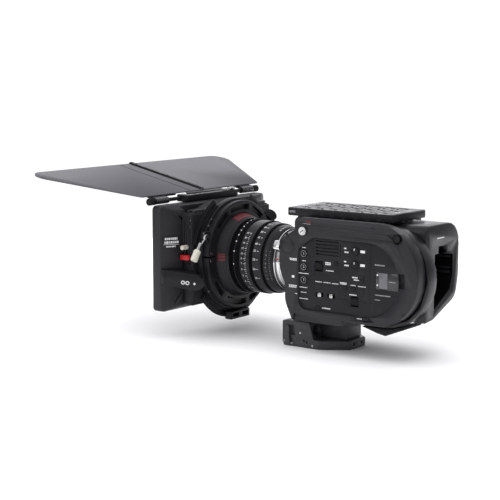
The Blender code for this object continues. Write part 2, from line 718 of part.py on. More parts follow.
def clamp_lever():
    """Silver cam lever at the ring's split."""
    y = (CLAMP_REAR - 3.6, CLAMP_REAR + 0.4)
    hub, sleeve_top, grip_top, grip_end = [
        (x, LEVER_Y, height) for x, height in ((77, 31), (88.1, 24.0), (94.0, 15.4), (102.9, 2.1))
    ]
    lever = rod("clamp_lever", 4.0, (hub[0], y[0], hub[2]), (hub[0], y[1], hub[2]), "silver", sides=16)
    stem = rod("clamp_lever_stem", 1.5, hub, grip_top, sides=10)
    sleeve = rod("clamp_lever_sleeve", 2.9, sleeve_top, grip_end, sides=12)
    grip = rod("clamp_lever_grip", 5.0, grip_top, grip_end, sides=8)
    return pivoted(joined(lever, stem, sleeve, grip), *hub)


def stage_fittings():
    knob_angle = math.radians(149)
    out = (math.cos(knob_angle), math.sin(knob_angle))
    knob = rod("stage_lock_knob", 9.0, (out[0] * 78.0, -104, out[1] * 78.0),
               (out[0] * 92.5, -104, out[1] * 92.5), "rubber_black", sides=20)
    softened(pivoted(knob, out[0] * 78.0, -104, out[1] * 78.0), 1.0, 1)
    inner, outer = STAGE_HALF_WIDTH + 0.8, STAGE_HALF_WIDTH + 7.2
    red = extruded("tray_lock_lever", rounded([
        (inner, -130.5, 1), (outer, -130.5, 2), (outer, -116, 3.1), (inner, -116, 3.1),
    ], step=30.0), "Z", (0.0, 6.5), "lever_red")
    pivoted(red, (inner + outer) / 2, -119.2, 3.2)
    seat = (STAGE_HALF_WIDTH + GAP, -123.5, 17)
    screw = rod("stage_thumbscrew", 3.2, seat, (97, *seat[1:]), "silver", sides=16)
    softened(pivoted(screw, *seat), 0.6, 1)
    plan = rounded([
        (115.6, -144.3, 0), (86.5, -130.5, 0), (86.5, -93.2, 1), (88.4, -93.2, 1), (117.0, -139.5, 3),
    ], step=30.0)
    side_view = rounded([
        (-150, -10, 0), (-139.9, -11.6, 0), (-102.4, -17.6, 3), (-93.0, -25.5, 2), (-93.0, -31.0, 3),
        (-100.4, -39.1, 3), (-107.7, -38.6, 0), (-140.1, -30.1, 0), (-150, -28, 0),
    ], step=30.0)
    for name, side in (("side_arm_left", 1), ("side_arm_right", -1)):
        arm = extruded(name, [(x * side, y) for x, y in plan], "Z", (-45, -10), "body_black")
        profile = extruded(name + "_profile", side_view, "X", sorted((side * 80, side * 120)))
        combined(arm, "INTERSECT", [profile])
        softened(arm, 1.2, 1, angle=50.0)
    foot = block("bottom_bracket", (-21, 21), (-111, -99), (-89, -RING_RADIUS - 0.6), "anodised_black")
    softened(foot, 1.0, 1)
    holes = [
        block(f"bracket_hole_{i}", (x - 7, x + 7), (-114, -98), (-86.0, -80.6))
        for i, x in enumerate((-10.5, 10.5))
    ]
    cut(foot, *holes)


def flag_outline():
    """The flag's own plane: x across, and the distance out from the hinge."""
    return rounded([
        (-FLAG_REAR_HALF_WIDTH, FLAG_START, 6), (FLAG_REAR_HALF_WIDTH, FLAG_START, 6),
        (FLAG_FRONT_HALF_WIDTH, FLAG_END, FLAG_CORNER), (-FLAG_FRONT_HALF_WIDTH, FLAG_END, FLAG_CORNER),
    ], step=16.0)


def on_hinge(obj):
    """Turns a shape built flat, with the hinge at its origin, to the flag's tilt and place."""
    obj.data.transform(Matrix.Translation(-world(0, 0, 0)))
    obj.data.transform(Matrix.Rotation(-FLAG_TILT, 4, "X"))
    obj.location = world(0, HINGE_Y, HINGE_HEIGHT)
    return obj


def top_flag():
    sheet = extruded("top_flag", [(x, -out) for x, out in flag_outline()], "Z",
                     (FLAG_OFFSET, FLAG_OFFSET + FLAG_THICKNESS), "flag_grey")
    rib = block("flag_rib", (-3, 3), (-FLAG_END + 0.5, -FLAG_START - 1.5), (FLAG_OFFSET + 1, FLAG_OFFSET + 4))
    on_hinge(rib)
    return joined(on_hinge(sheet), rib)


def flag_hinge():
    axle = rod("flag_hinge_rod", 2.6, (-108.9, HINGE_Y, HINGE_HEIGHT), (108.9, HINGE_Y, HINGE_HEIGHT),
               "silver", sides=16)
    pivoted(axle, 0, HINGE_Y, HINGE_HEIGHT)
    for name, side in (("left", 1), ("right", -1)):
        inner, outer = side * 81.0, side * 108.5
        clamp = rod(f"flag_clamp_{name}", 4.5, (inner, 0, 0), (outer, 0, 0), "anodised_black", sides=16)
        pad = block(f"clamp_pad_{name}", sorted((inner, outer)), (-14, -1), (1.5, FLAG_OFFSET - GAP))
        bore = rod(f"clamp_bore_{name}", 2.6 + GAP, (inner - 3 * side, 0, 0), (outer + 3 * side, 0, 0),
                   sides=16)
        for piece in (clamp, pad, bore):
            on_hinge(piece)
        cut(joined(clamp, pad), bore)
        knob = rod(f"flag_knob_{name}", 4.8, (side * 109.4, HINGE_Y, HINGE_HEIGHT),
                   (side * 120.0, HINGE_Y, HINGE_HEIGHT), "rubber_black", sides=16)
        softened(pivoted(knob, side * 109.4, HINGE_Y, HINGE_HEIGHT), 0.8, 1)
    top = HINGE_HEIGHT + HINGE_EAR
    mount = block("flag_mount", (-56, 56), (HINGE_Y - HINGE_EAR, -146), (HOOD_TOP + GAP, top),
                  "anodised_black")
    relief = block("mount_relief", (-40, 40), (HINGE_Y - 7, HINGE_Y + 6.5), (HOOD_TOP + 2.2, top + 1))
    softened(mount, 0.8, 1)
    cut(mount, relief, rod("mount_bore", 2.6 + GAP, (-60, HINGE_Y, HINGE_HEIGHT),
                           (60, HINGE_Y, HINGE_HEIGHT), sides=16))
    lever = rod("flag_lock_lever", 4.0, (-48, -150.5, top + GAP), (-48, -150.5, top + 3.4), "silver",
                sides=16)
    handle = block("lock_handle", (-46, -26), (-152.5, -148.5), (top + 0.6, top + 3.1))
    pivoted(joined(lever, handle), -48, -150.5, top + GAP)


# ---------------------------------------------------------------- base


def base():
    front, rear = BASE_Y
    slab = rounded([
        (-BASE_HALF_WIDTH, front, 3), (BASE_HALF_WIDTH, front, 3), (BASE_HALF_WIDTH, 60, 6),
        (19, rear, 4), (-19, rear, 4), (-BASE_HALF_WIDTH, 60, 6),
    ], step=30.0)
    body = extruded("base_plate", slab, "Z", (FLOOR, FLOOR + 12), "anodised_black")
    softened(body, 1.0, 1, angle=50.0)
    tower = extruded("rod_tower", rounded([
        (front, FLOOR + 4, 0), (front, -73.6, 2), (44, -73.6, 2), (53, FLOOR + 4, 0),
    ]), "X", (-BASE_HALF_WIDTH, BASE_HALF_WIDTH))
    bores = [
        rod(f"rod_bore_{i}", ROD_BORE, (x, front - 2, ROD_HEIGHT), (x, 60, ROD_HEIGHT), sides=24)
        for i, x in enumerate((-ROD_SPACING / 2, ROD_SPACING / 2))
    ]
    channel = block("tower_channel", (-18, 18), (front - 1, 60), (-95, -60))
    joined(body, tower)
    cut(body, channel, *bores)
    riser = block("camera_riser", (-17.4, 17.4), (14, 86), (-94.6, HOUSING_BOTTOM - 5.5), "anodised_black")
    wings = extruded("riser_wings", rounded([
        (-36, 14, 3), (36, 14, 3), (36, 84, 10), (20, 104, 4), (-20, 104, 4), (-36, 84, 10),
    ], step=30.0), "Z", (-73.2, HOUSING_BOTTOM - 5.5))
    joined(riser, wings)
    lever = rod("rod_lock_lever", 4.2, (BASE_HALF_WIDTH + GAP, 12, -99), (BASE_HALF_WIDTH + 4.0, 12, -99),
                "anodised_black", sides=16)
    handle = block("rod_lever_handle", (BASE_HALF_WIDTH + 1.2, BASE_HALF_WIDTH + 3.8), (9, 15), (-99, -79))
    pivoted(joined(lever, handle), BASE_HALF_WIDTH + GAP, 12, -99)


def shoulder_pad():
    pad = extruded("shoulder_pad", [
        (122, -68.2), (132, -71), (145.6, -75), (157.3, -77), (184.5, -66), (184.5, -61.8), (162, -67.6),
    ], "X", PAD_WIDTH, "rubber_black")
    return softened(pad, 1.0, 1, angle=50.0)


left_cover()
control_panel()
media_door()
mid_frame()
right_cover()
battery_shell()
battery_contacts()
top_plate()
controls()
inside()
lens()
camera_mount()
hood()
filter_stage()
filter_trays()
stage_ring()
clamp_ring()
clamp_lever()
stage_fittings()
top_flag()
flag_hinge()
base()
shoulder_pad()
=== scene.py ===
"""Cinema camera rig: the looks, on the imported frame.

Places are in millimetres as (x, y, height): +X is the operator's side, y counts back from the
camera's lens mount and height counts up from the lens axis. Both zeros are found in the frame.
"""

import json
import math
import random

import bmesh
import bpy
from mathutils import Matrix, Vector


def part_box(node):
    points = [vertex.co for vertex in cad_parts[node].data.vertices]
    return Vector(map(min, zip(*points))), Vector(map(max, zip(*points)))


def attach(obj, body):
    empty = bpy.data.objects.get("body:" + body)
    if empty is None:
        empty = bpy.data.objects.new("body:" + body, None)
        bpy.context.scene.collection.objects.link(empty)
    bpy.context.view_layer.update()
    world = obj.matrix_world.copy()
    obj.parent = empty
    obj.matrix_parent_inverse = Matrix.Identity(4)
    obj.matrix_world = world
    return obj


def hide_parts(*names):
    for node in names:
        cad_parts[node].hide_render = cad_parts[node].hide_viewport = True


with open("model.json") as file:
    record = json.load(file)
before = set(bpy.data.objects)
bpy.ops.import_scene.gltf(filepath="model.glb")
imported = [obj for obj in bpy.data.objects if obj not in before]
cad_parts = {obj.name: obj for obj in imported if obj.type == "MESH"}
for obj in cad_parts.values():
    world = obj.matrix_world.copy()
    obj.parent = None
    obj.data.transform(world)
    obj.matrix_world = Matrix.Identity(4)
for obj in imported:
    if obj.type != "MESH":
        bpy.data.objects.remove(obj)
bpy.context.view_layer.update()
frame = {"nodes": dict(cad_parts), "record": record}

NODES = frame["nodes"]
RECORD = frame["record"]
BODY_OF = {node: body for body, nodes in RECORD["behaviour"]["bodies"].items() for node in nodes}
SLOT_OF = {part["node"]: part["material_slot"] for part in RECORD["subparts"]}

MM = 0.001
ADAPTER_BACK = 7.7
AXIS_Z = sum(corner.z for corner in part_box("focus_ring")) / 2
MOUNT_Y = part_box("mount_adapter")[1].y - ADAPTER_BACK * MM
TO_WORLD = Matrix.Translation((0, MOUNT_Y, AXIS_Z)) @ Matrix.Scale(MM, 4)
TO_LOCAL = TO_WORLD.inverted()


def at(x, y, height):
    return TO_WORLD @ Vector((x, y, height))


def limits(node):
    """A node's box as ((x0, x1), (y0, y1), (h0, h1)) in the script's own units."""
    low, high = (TO_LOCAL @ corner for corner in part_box(node))
    return tuple(zip(low, high))


def middle(node):
    return [sum(pair) / 2 for pair in limits(node)]


# ---------------------------------------------------------------- materials


def set_input(shader, name, value):
    shader.inputs[name].default_value = value


class Graph:
    """Adds nodes to the tree of a material or of the world."""

    def __init__(self, owner):
        owner.use_nodes = True
        self.tree = owner.node_tree

    def node(self, kind):
        return self.tree.nodes.new("ShaderNode" + kind)

    def link(self, source, target):
        self.tree.links.new(source, target)

    def ranged(self, value, low, high, start=0.3, end=0.7, kind="LINEAR"):
        change = self.node("MapRange")
        change.interpolation_type = kind
        for name, number in (("From Min", start), ("From Max", end), ("To Min", low), ("To Max", high)):
            set_input(change, name, number)
        self.link(value, change.inputs["Value"])
        return change.outputs["Result"]

    def sum(self, first, second):
        add = self.node("Math")
        add.operation = "ADD"
        self.link(first, add.inputs[0])
        if isinstance(second, bpy.types.NodeSocket):
            self.link(second, add.inputs[1])
        else:
            add.inputs[1].default_value = second
        return add.outputs[0]


class Finish(Graph):
    """A Principled material whose colour, roughness and relief come from procedural nodes."""

    def __init__(self, name, colour, roughness, metallic=0.0, specular=0.5):
        self.material = bpy.data.materials.new(name)
        super().__init__(self.material)
        self.shader = self.tree.nodes["Principled BSDF"]
        self.colour = colour
        self.roughness = roughness
        set_input(self.shader, "Base Color", (*colour, 1.0))
        set_input(self.shader, "Roughness", roughness)
        set_input(self.shader, "Metallic", metallic)
        set_input(self.shader, "Specular IOR Level", specular)
        self.normal = None

    def noise(self, scale, stretch=(1.0, 1.0, 1.0), detail=2.0):
        """Noise with features 1/scale metres in size, stretched along the object's axes."""
        place = self.node("TexCoord")
        mapping = self.node("Mapping")
        mapping.inputs["Scale"].default_value = [scale * s for s in stretch]
        texture = self.node("TexNoise")
        set_input(texture, "Scale", 1.0)
        set_input(texture, "Detail", detail)
        self.link(place.outputs["Object"], mapping.inputs["Vector"])
        self.link(mapping.outputs["Vector"], texture.inputs["Vector"])
        return texture.outputs["Fac"]

    def mixed(self, factor, first, second):
        mix = self.node("Mix")
        mix.data_type = "RGBA"
        for socket, colour in ((mix.inputs[6], first), (mix.inputs[7], second)):
            if isinstance(colour, bpy.types.NodeSocket):
                self.link(colour, socket)
            else:
                socket.default_value = (*colour, 1.0)
        self.link(factor, mix.inputs[0])
        return mix.outputs[2]

    def edges(self, radius=0.5, reach=0.12):
        """A mask of the surface's edges: where the rounded normal leaves the true one."""
        round_off = self.node("Bevel")
        round_off.samples = 4
        set_input(round_off, "Radius", radius * MM)
        shape = self.node("NewGeometry")
        dot = self.node("VectorMath")
        dot.operation = "DOT_PRODUCT"
        self.link(round_off.outputs["Normal"], dot.inputs[0])
        self.link(shape.outputs["Normal"], dot.inputs[1])
        return self.ranged(dot.outputs["Value"], 0.7, 0.0, start=1.0 - reach, end=0.998)

    def mottled(self, amount=0.2, scale=60.0, stretch=(1.0, 1.0, 1.0)):
        """Colour and roughness that wander gently over the surface."""
        wander = self.noise(scale, stretch, detail=3.0)
        darker = [c * (1 - amount) for c in self.colour]
        lighter = [c * (1 + amount) for c in self.colour]
        self.shade = self.mixed(self.ranged(wander, 0.0, 1.0), darker, lighter)
        self.link(self.shade, self.shader.inputs["Base Color"])
        rough = self.ranged(wander, self.roughness - 0.05, self.roughness + 0.06)
        self.link(rough, self.shader.inputs["Roughness"])
        return self

    def worn(self, colour, radius=0.5, reach=0.12):
        """Edges rubbed to a lighter colour; comes after mottled()."""
        self.shade = self.mixed(self.edges(radius, reach), self.shade, colour)
        self.link(self.shade, self.shader.inputs["Base Color"])
        return self

    def relief(self, height, depth, strength=1.0):
        """Bumps of this depth in millimetres where height is 1."""
        bump = self.node("Bump")
        set_input(bump, "Strength", strength)
        set_input(bump, "Distance", depth * MM)
        self.link(height, bump.inputs["Height"])
        if self.normal:
            self.link(self.normal, bump.inputs["Normal"])
        self.normal = bump.outputs["Normal"]
        self.link(self.normal, self.shader.inputs["Normal"])
        return self


def moulded(name, colour, roughness, grain, depth, worn_to=None, specular=0.5):
    """Moulded or painted plastic with a fine leathery grain."""
    finish = Finish(name, colour, roughness, specular=specular).mottled(0.14, 45.0)
    finish.relief(finish.noise(grain, detail=3.0), depth)
    if worn_to:
        finish.worn(worn_to)
    return finish.material


def turned_metal(name, colour, roughness, metallic, ring_depth, specular, rubbed):
    """Anodised metal turned on a lathe: fine rings across the lens axis, and rubbed edges."""
    finish = Finish(name, colour, roughness, metallic, specular=specular)
    finish.mottled(0.15, 1.0, (25.0, 700.0, 25.0))
    finish.relief(finish.noise(1.0, (6.0, 5200.0, 6.0)), ring_depth, 0.6)
    finish.worn([c + rubbed for c in colour], 0.35)
    return finish.material


def bead_blasted(name, colour, roughness, metallic, worn_to, specular):
    """Black anodised, bead-blasted aluminium with rubbed edges."""
    finish = Finish(name, colour, roughness, metallic, specular=specular).mottled(0.2, 120.0)
    finish.relief(finish.noise(3800.0, detail=1.0), 0.03, 0.7)
    finish.worn(worn_to, 0.35)
    return finish.material


def brushed(name, colour, roughness, stretch):
    finish = Finish(name, colour, roughness, 1.0).mottled(0.08, 1.0, stretch)
    finish.relief(finish.noise(1.0, [6 * s for s in stretch]), 0.01, 0.4)
    return finish.material


def rubber(name, colour):
    finish = Finish(name, colour, 0.75, specular=0.3).mottled(0.2, 160.0)
    finish.relief(finish.noise(2600.0), 0.05, 0.6)
    return finish.material


def sheet_grey():
    """The flag's painted carbon sheet: even grey with a faint cross weave."""
    finish = Finish("flag_sheet", (0.128, 0.125, 0.138), 0.64, specular=0.25).mottled(0.05, 9.0)
    weave = finish.noise(1.0, (60.0, 2600.0, 60.0), detail=0.0)
    finish.relief(weave, 0.012, 0.5)
    cross = finish.noise(1.0, (2600.0, 60.0, 60.0), detail=0.0)
    finish.relief(cross, 0.012, 0.5)
    finish.worn((0.045, 0.045, 0.05), 0.9, 0.3)
    return finish.material


def optical_glass(name, tint, roughness=0.02):
    """Dark coated glass: a black body under a clear coat; towards grazing angles the colour is mixed to
    purple, a painted coating reflection.
    """
    finish = Finish(name, tint, roughness)
    # Painted reflection: the colour turns purple as the surface faces away from the view, standing in for the
    # coating's reflection.
    facing = finish.node("LayerWeight")
    set_input(facing, "Blend", 0.35)
    shade = finish.mixed(facing.outputs["Facing"], tint, (0.16, 0.05, 0.16))
    finish.link(shade, finish.shader.inputs["Base Color"])
    dust = finish.noise(220.0, detail=4.0)
    finish.link(finish.ranged(dust, roughness, roughness + 0.05), finish.shader.inputs["Roughness"])
    set_input(finish.shader, "Specular IOR Level", 0.8)
    set_input(finish.shader, "Coat Weight", 0.8)
    set_input(finish.shader, "Coat Roughness", 0.03)
    return finish.material


def paint(name, colour, roughness=0.5):
    finish = Finish(name, colour, roughness).mottled(0.06, 300.0)
    finish.relief(finish.noise(1800.0), 0.02, 0.4)
    return finish.material


SHELL = moulded("moulded_shell", (0.017, 0.0163, 0.0198), 0.42, 1500.0, 0.10, (0.085, 0.085, 0.092), 0.32)
SATIN_SHELL = moulded("satin_shell", (0.010, 0.0096, 0.0115), 0.34, 900.0, 0.02, None, 0.4)
PANEL = moulded("panel_plastic", (0.012, 0.0115, 0.014), 0.42, 1800.0, 0.06, (0.06, 0.06, 0.065), 0.2)
HOOD = moulded("hood_plastic", (0.017, 0.0164, 0.0198), 0.48, 1300.0, 0.10, (0.038, 0.038, 0.042), 0.36)
# The stage's plastic is darker than the hood's. Part of that darkness is painted shade for the region between
# the hood's slope and the stage ring.
STAGE = moulded("stage_plastic", (0.010, 0.0098, 0.012), 0.5, 1500.0, 0.08, (0.06, 0.06, 0.065), 0.25)
# Near-black flock: real on the hood's ribs and in the mount's throat, and painted shade where it lines the
# battery bay.
INNER = moulded("flock_and_painted_shade", (0.004, 0.004, 0.0045), 0.9, 2600.0, 0.15, None, 0.0)
LENS = turned_metal("lens_anodised", (0.013, 0.0127, 0.0152), 0.36, 0.0, 0.02, 0.26, 0.03)
LENS_DARK = turned_metal("lens_gear_black", (0.004, 0.004, 0.0046), 0.5, 0.0, 0.02, 0.06, 0.004)
ANODISED = bead_blasted("anodised_black", (0.011, 0.0107, 0.0128), 0.42, 0.0, (0.04, 0.04, 0.045), 0.22)
PLATE = bead_blasted("plate_anodised", (0.015, 0.0146, 0.0172), 0.34, 0.0, (0.12, 0.12, 0.13), 0.2)
BASE = bead_blasted("base_anodised", (0.034, 0.0335, 0.038), 0.42, 0.0, (0.10, 0.10, 0.11), 0.4)
RUBBER = rubber("rubber_black", (0.009, 0.009, 0.010))
FLAG = sheet_grey()
CHROME = brushed("chrome_turned", (0.78, 0.78, 0.79), 0.14, (30.0, 600.0, 30.0))
STEEL = brushed("steel_satin", (0.60, 0.60, 0.60), 0.26, (500.0, 40.0, 40.0))
GUNMETAL = brushed("rod_gunmetal", (0.050, 0.050, 0.055), 0.30, (40.0, 500.0, 500.0))
MATT_STEEL = bead_blasted("matt_steel", (0.62, 0.62, 0.63), 0.5, 0.1, (0.5, 0.5, 0.52), 0.5)
GREY_STEEL = brushed("serration_steel", (0.22, 0.22, 0.23), 0.28, (400.0, 40.0, 40.0))
RED = paint("red_anodised", (0.42, 0.008, 0.012), 0.32)
WHITE = paint("print_white", (0.75, 0.75, 0.76), 0.55)
DIM_WHITE = paint("print_grey", (0.30, 0.30, 0.32), 0.55)
DIM_RED = paint("print_red", (0.11, 0.012, 0.018), 0.5)
GLASS = optical_glass("coated_glass", (0.010, 0.010, 0.022))
SMOKED = paint("smoked_window", (0.030, 0.030, 0.034), 0.16)
MILKY = paint("milky_window", (0.13, 0.13, 0.142), 0.3)
BOARD = paint("circuit_board", (0.02, 0.11, 0.05), 0.45)
GOLD = brushed("gold_contact", (0.75, 0.52, 0.20), 0.25, (300.0, 300.0, 300.0))
BLACK = paint("deep_black", (0.004, 0.004, 0.005), 0.6)
IVORY = paint("ivory_screw", (0.62, 0.60, 0.52), 0.35)

SLOT_FINISH = {
    "shell_metal": SHELL,
    "hood_plastic": HOOD,
    "panel_plastic": PANEL,
    "anodised": ANODISED,
    "lens_metal": LENS,
    "rubber": RUBBER,
    "flag_sheet": FLAG,
    "chrome": CHROME,
    "steel": STEEL,
    "red": RED,
    "glass": GLASS,
    "board": BOARD,
}


# ---------------------------------------------------------------- shapes


def arc_points(radius, start, end, count, centre=(0.0, 0.0)):
    """Points on an arc, its angles in degrees."""
    angles = [math.radians(start + (end - start) * k / count) for k in range(count + 1)]
    return [(centre[0] + radius * math.cos(a), centre[1] + radius * math.sin(a)) for a in angles]


def rounded_rectangle(u, v, radius, count=5):
    """The outline of a rectangle between two pairs of limits, with round corners."""
    corners = (((u[1], v[1]), 0), ((u[0], v[1]), 90), ((u[0], v[0]), 180), ((u[1], v[0]), 270))
    outline = []
    for (cu, cv), start in corners:
        centre = (cu - math.copysign(radius, cu - sum(u) / 2), cv - math.copysign(radius, cv - sum(v) / 2))
        outline += arc_points(radius, start, start + 90, count, centre)
    return outline


# Where an outline's two axes and its thickness lie: facing X it holds (y, height), facing Y
# (x, height) and facing Z (x, y).
FACINGS = {
    "X": Matrix(((0, 0, 1, 0), (1, 0, 0, 0), (0, 1, 0, 0), (0, 0, 0, 1))),
    "Y": Matrix(((1, 0, 0, 0), (0, 0, 1, 0), (0, 1, 0, 0), (0, 0, 0, 1))),
    "Z": Matrix.Identity(4),
}


def join_loops(bm, pairs):
    """Faces between the closed loops of vertices of each pair."""
    for first, second in pairs:
        for k in range(len(first)):
            n = (k + 1) % len(first)
            bm.faces.new((first[k], first[n], second[n], second[k]))


class Shape:
    """Gathers solids in one mesh, in millimetres."""

    def __init__(self):
        self.bm = bmesh.new()

    def take(self, bm, bevel=0.0, place=None):
        bmesh.ops.recalc_face_normals(bm, faces=bm.faces)
        if bevel > 0:
            sharp = [edge for edge in bm.edges if edge.calc_face_angle(0.0) > math.radians(35)]
            bmesh.ops.bevel(bm, geom=sharp, offset=bevel, segments=2, profile=0.5,
                            affect="EDGES", clamp_overlap=True)
        if place:
            bm.transform(place)
        scratch = bpy.data.meshes.new("scratch")
        bm.to_mesh(scratch)
        bm.free()
        self.bm.from_mesh(scratch)
        bpy.data.meshes.remove(scratch)
        return self

    def box(self, x, y, height, bevel=0.3, place=None):
        bm = bmesh.new()
        bmesh.ops.create_cube(bm, size=1.0)
        size = Vector((x[1] - x[0], y[1] - y[0], height[1] - height[0]))
        centre = Vector((x[0] + x[1], y[0] + y[1], height[0] + height[1])) / 2
        bmesh.ops.scale(bm, vec=size, verts=bm.verts)
        bmesh.ops.translate(bm, vec=centre, verts=bm.verts)
        return self.take(bm, bevel, place=place)

    def disc(self, start, end, radius, sides=32, bevel=0.25, place=None):
        """A cylinder between two points."""
        start, end = Vector(start), Vector(end)
        turn = Vector((0, 0, 1)).rotation_difference(end - start).to_matrix().to_4x4()
        bm = bmesh.new()
        bmesh.ops.create_cone(
            bm, cap_ends=True, segments=sides, depth=(end - start).length, radius1=radius,
            radius2=radius, matrix=Matrix.Translation((start + end) / 2) @ turn,
        )
        return self.take(bm, bevel, place=place)

    def prism(self, outline, facing, limits, bevel=0.0, place=None):
        bm = bmesh.new()
        base = bm.faces.new([bm.verts.new((u, v, limits[0])) for u, v in outline])
        raised = bmesh.ops.extrude_face_region(bm, geom=[base])["geom"]
        moved = [v for v in raised if isinstance(v, bmesh.types.BMVert)]
        bmesh.ops.translate(bm, vec=(0, 0, limits[1] - limits[0]), verts=moved)
        bm.transform(FACINGS[facing])
        return self.take(bm, bevel, place=place)

    def lathe(self, profile, sides=96, centre=(0.0, 0.0), place=None, bevel=0.0):
        """A closed (radius, y) profile turned about the lens axis, or one beside it."""
        bm = bmesh.new()
        loops = []
        for radius, y in profile:
            if radius < 1e-6:
                loops.append([bm.verts.new((0, y, 0))])
                continue
            ring = arc_points(radius, 0, 360 * (sides - 1) / sides, sides - 1)
            loops.append([bm.verts.new((u, y, v)) for u, v in ring])
        for first, second in zip(loops, loops[1:] + loops[:1]):
            if len(first) == len(second) == 1:
                continue
            for k in range(sides):
                n = (k + 1) % sides
                corners = [first[k % len(first)], first[n % len(first)],
                           second[n % len(second)], second[k % len(second)]]
                bm.faces.new(list(dict.fromkeys(corners)))
        bmesh.ops.translate(bm, vec=(centre[0], 0, centre[1]), verts=bm.verts)
        return self.take(bm, bevel, place=place)

    def lathe_x(self, place, profile, x, sides=48):
        """A (radius, x) profile turned about a line along X through (y, height)."""
        turn = Matrix.Translation((x, *place)) @ Matrix.Rotation(math.radians(-90), 4, "Z")
        return self.lathe(profile, sides, place=turn)

    def lathe_z(self, place, profile, height, sides=32):
        """A (radius, height) profile turned about an upright line through (x, y)."""
        turn = Matrix.Translation((*place, height)) @ Matrix.Rotation(math.radians(90), 4, "X")
        return self.lathe(profile, sides, place=turn)

    def geared(self, profile, teeth):
        """A turned profile of (radius, y, depth): its surface steps down by depth between teeth."""
        bm = bmesh.new()
        steps = (0.0, 0.30, 0.42, 0.88)
        drop = (0.0, 0.0, 1.0, 1.0)
        spokes = [(360 * (k + step) / teeth, low) for k in range(teeth) for step, low in zip(steps, drop)]
        loops = []
        for radius, y, depth in profile:
            loop = []
            for angle, low in spokes:
                r = radius - depth * low
                loop.append(bm.verts.new((r * math.cos(math.radians(angle)), y,
                                          r * math.sin(math.radians(angle)))))
            loops.append(loop)
        join_loops(bm, zip(loops, loops[1:] + loops[:1]))
        return self.take(bm)

    def letters(self, text, size, place, depth=0.12):
        """Printed figures: place turns a flat (u, v, 0) point into a point on the surface."""
        curve = bpy.data.curves.new("figures", "FONT")
        curve.body = text
        curve.size = size
        curve.align_x = "CENTER"
        curve.align_y = "CENTER"
        curve.resolution_u = 3
        curve.extrude = depth / 2
        guide = bpy.data.objects.new("figures", curve)
        bpy.context.scene.collection.objects.link(guide)
        bpy.context.view_layer.update()
        mesh = bpy.data.meshes.new_from_object(guide.evaluated_get(bpy.context.evaluated_depsgraph_get()))
        bm = bmesh.new()
        bm.from_mesh(mesh)
        for vert in bm.verts:
            vert.co = Vector(place(vert.co.x, vert.co.y, vert.co.z + depth / 2))
        bpy.data.objects.remove(guide, do_unlink=True)
        bpy.data.meshes.remove(mesh)
        bpy.data.curves.remove(curve)
        return self.take(bm)

    def mesh(self, name):
        self.bm.transform(TO_WORLD)
        made = bpy.data.meshes.new(name)
        self.bm.to_mesh(made)
        self.bm.free()
        return made


SMOOTH_ANGLE = math.radians(38)


def dressed(obj, finish):
    obj.data.materials.clear()
    obj.data.materials.append(finish)
    for face in obj.data.polygons:
        face.material_index = 0
    obj.data.shade_smooth()
    obj.data.set_sharp_from_angle(angle=SMOOTH_ANGLE)
    return obj


def piece(name, shape, node, finish, stands_for=()):
    """A shown piece that rides with a node's body and may stand for nodes."""
    obj = bpy.data.objects.new(name, shape.mesh(name))
    bpy.context.scene.collection.objects.link(obj)
    dressed(obj, finish)
    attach(obj, BODY_OF[node])
    if stands_for:
        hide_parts(*stands_for)
    return obj


def evaluated_copy(obj):
    graph = bpy.context.evaluated_depsgraph_get()
    return bpy.data.meshes.new_from_object(obj.evaluated_get(graph))


def carved(node, finish, tools=(), soften=0.0):
    """The node's own shape, welded, with tool shapes cut out and its edges softened."""
    mesh = NODES[node].data.copy()
    bm = bmesh.new()
    bm.from_mesh(mesh)
    bmesh.ops.remove_doubles(bm, verts=bm.verts, dist=1e-6)
    if soften:
        bmesh.ops.dissolve_limit(bm, angle_limit=math.radians(0.5), verts=bm.verts, edges=bm.edges)
    for layer in list(bm.loops.layers.uv):
        bm.loops.layers.uv.remove(layer)
    clean = bpy.data.meshes.new(node + "_detailed")
    bm.to_mesh(clean)
    bm.free()
    bpy.data.meshes.remove(mesh)
    obj = bpy.data.objects.new(clean.name, clean)
    bpy.context.scene.collection.objects.link(obj)
    guides = []
    for i, shape in enumerate(tools):
        guide = bpy.data.objects.new(f"{node}_cut_{i}", shape.mesh("tool"))
        bpy.context.scene.collection.objects.link(guide)
        step = obj.modifiers.new(guide.name, "BOOLEAN")
        step.operation = "DIFFERENCE"
        step.solver = "EXACT"
        step.use_self = True
        step.object = guide
        guides.append(guide)
    if soften:
        bevel = obj.modifiers.new("rounded edges", "BEVEL")
        bevel.width = soften * MM
        bevel.segments = 2
        bevel.limit_method = "ANGLE"
        bevel.angle_limit = math.radians(40)
    bpy.context.view_layer.update()
    final = evaluated_copy(obj)
    obj.modifiers.clear()
    obj.data = final
    final.name = clean.name
    for guide in guides:
        bpy.data.objects.remove(guide, do_unlink=True)
    dressed(obj, finish)
    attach(obj, BODY_OF[node])
    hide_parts(node)
    return obj


# ---------------------------------------------------------------- print and small hardware

PANEL_FACE = limits("control_panel")[0][1]
COVER_FACE = limits("left_cover")[0][1]
DOOR_FACE = limits("media_door")[0][1]
PRINT = 0.12


def small_print(shape, x, y, height, rows, seed):
    """Rows of short dashes, in place of the lettering beside a control."""
    chance = random.Random(seed)
    pitch = (height[1] - height[0]) / rows
    for row in range(rows):
        top = height[1] - row * pitch
        start = y[0] + (chance.uniform(0, 1.5) if row else 0)
        while start < y[1] - 0.8:
            end = min(y[1], start + chance.uniform(0.8, 2.2))
            shape.box((x, x + PRINT), (start, end), (top - pitch * 0.72, top), bevel=0)
            start = end + 0.45
    return shape


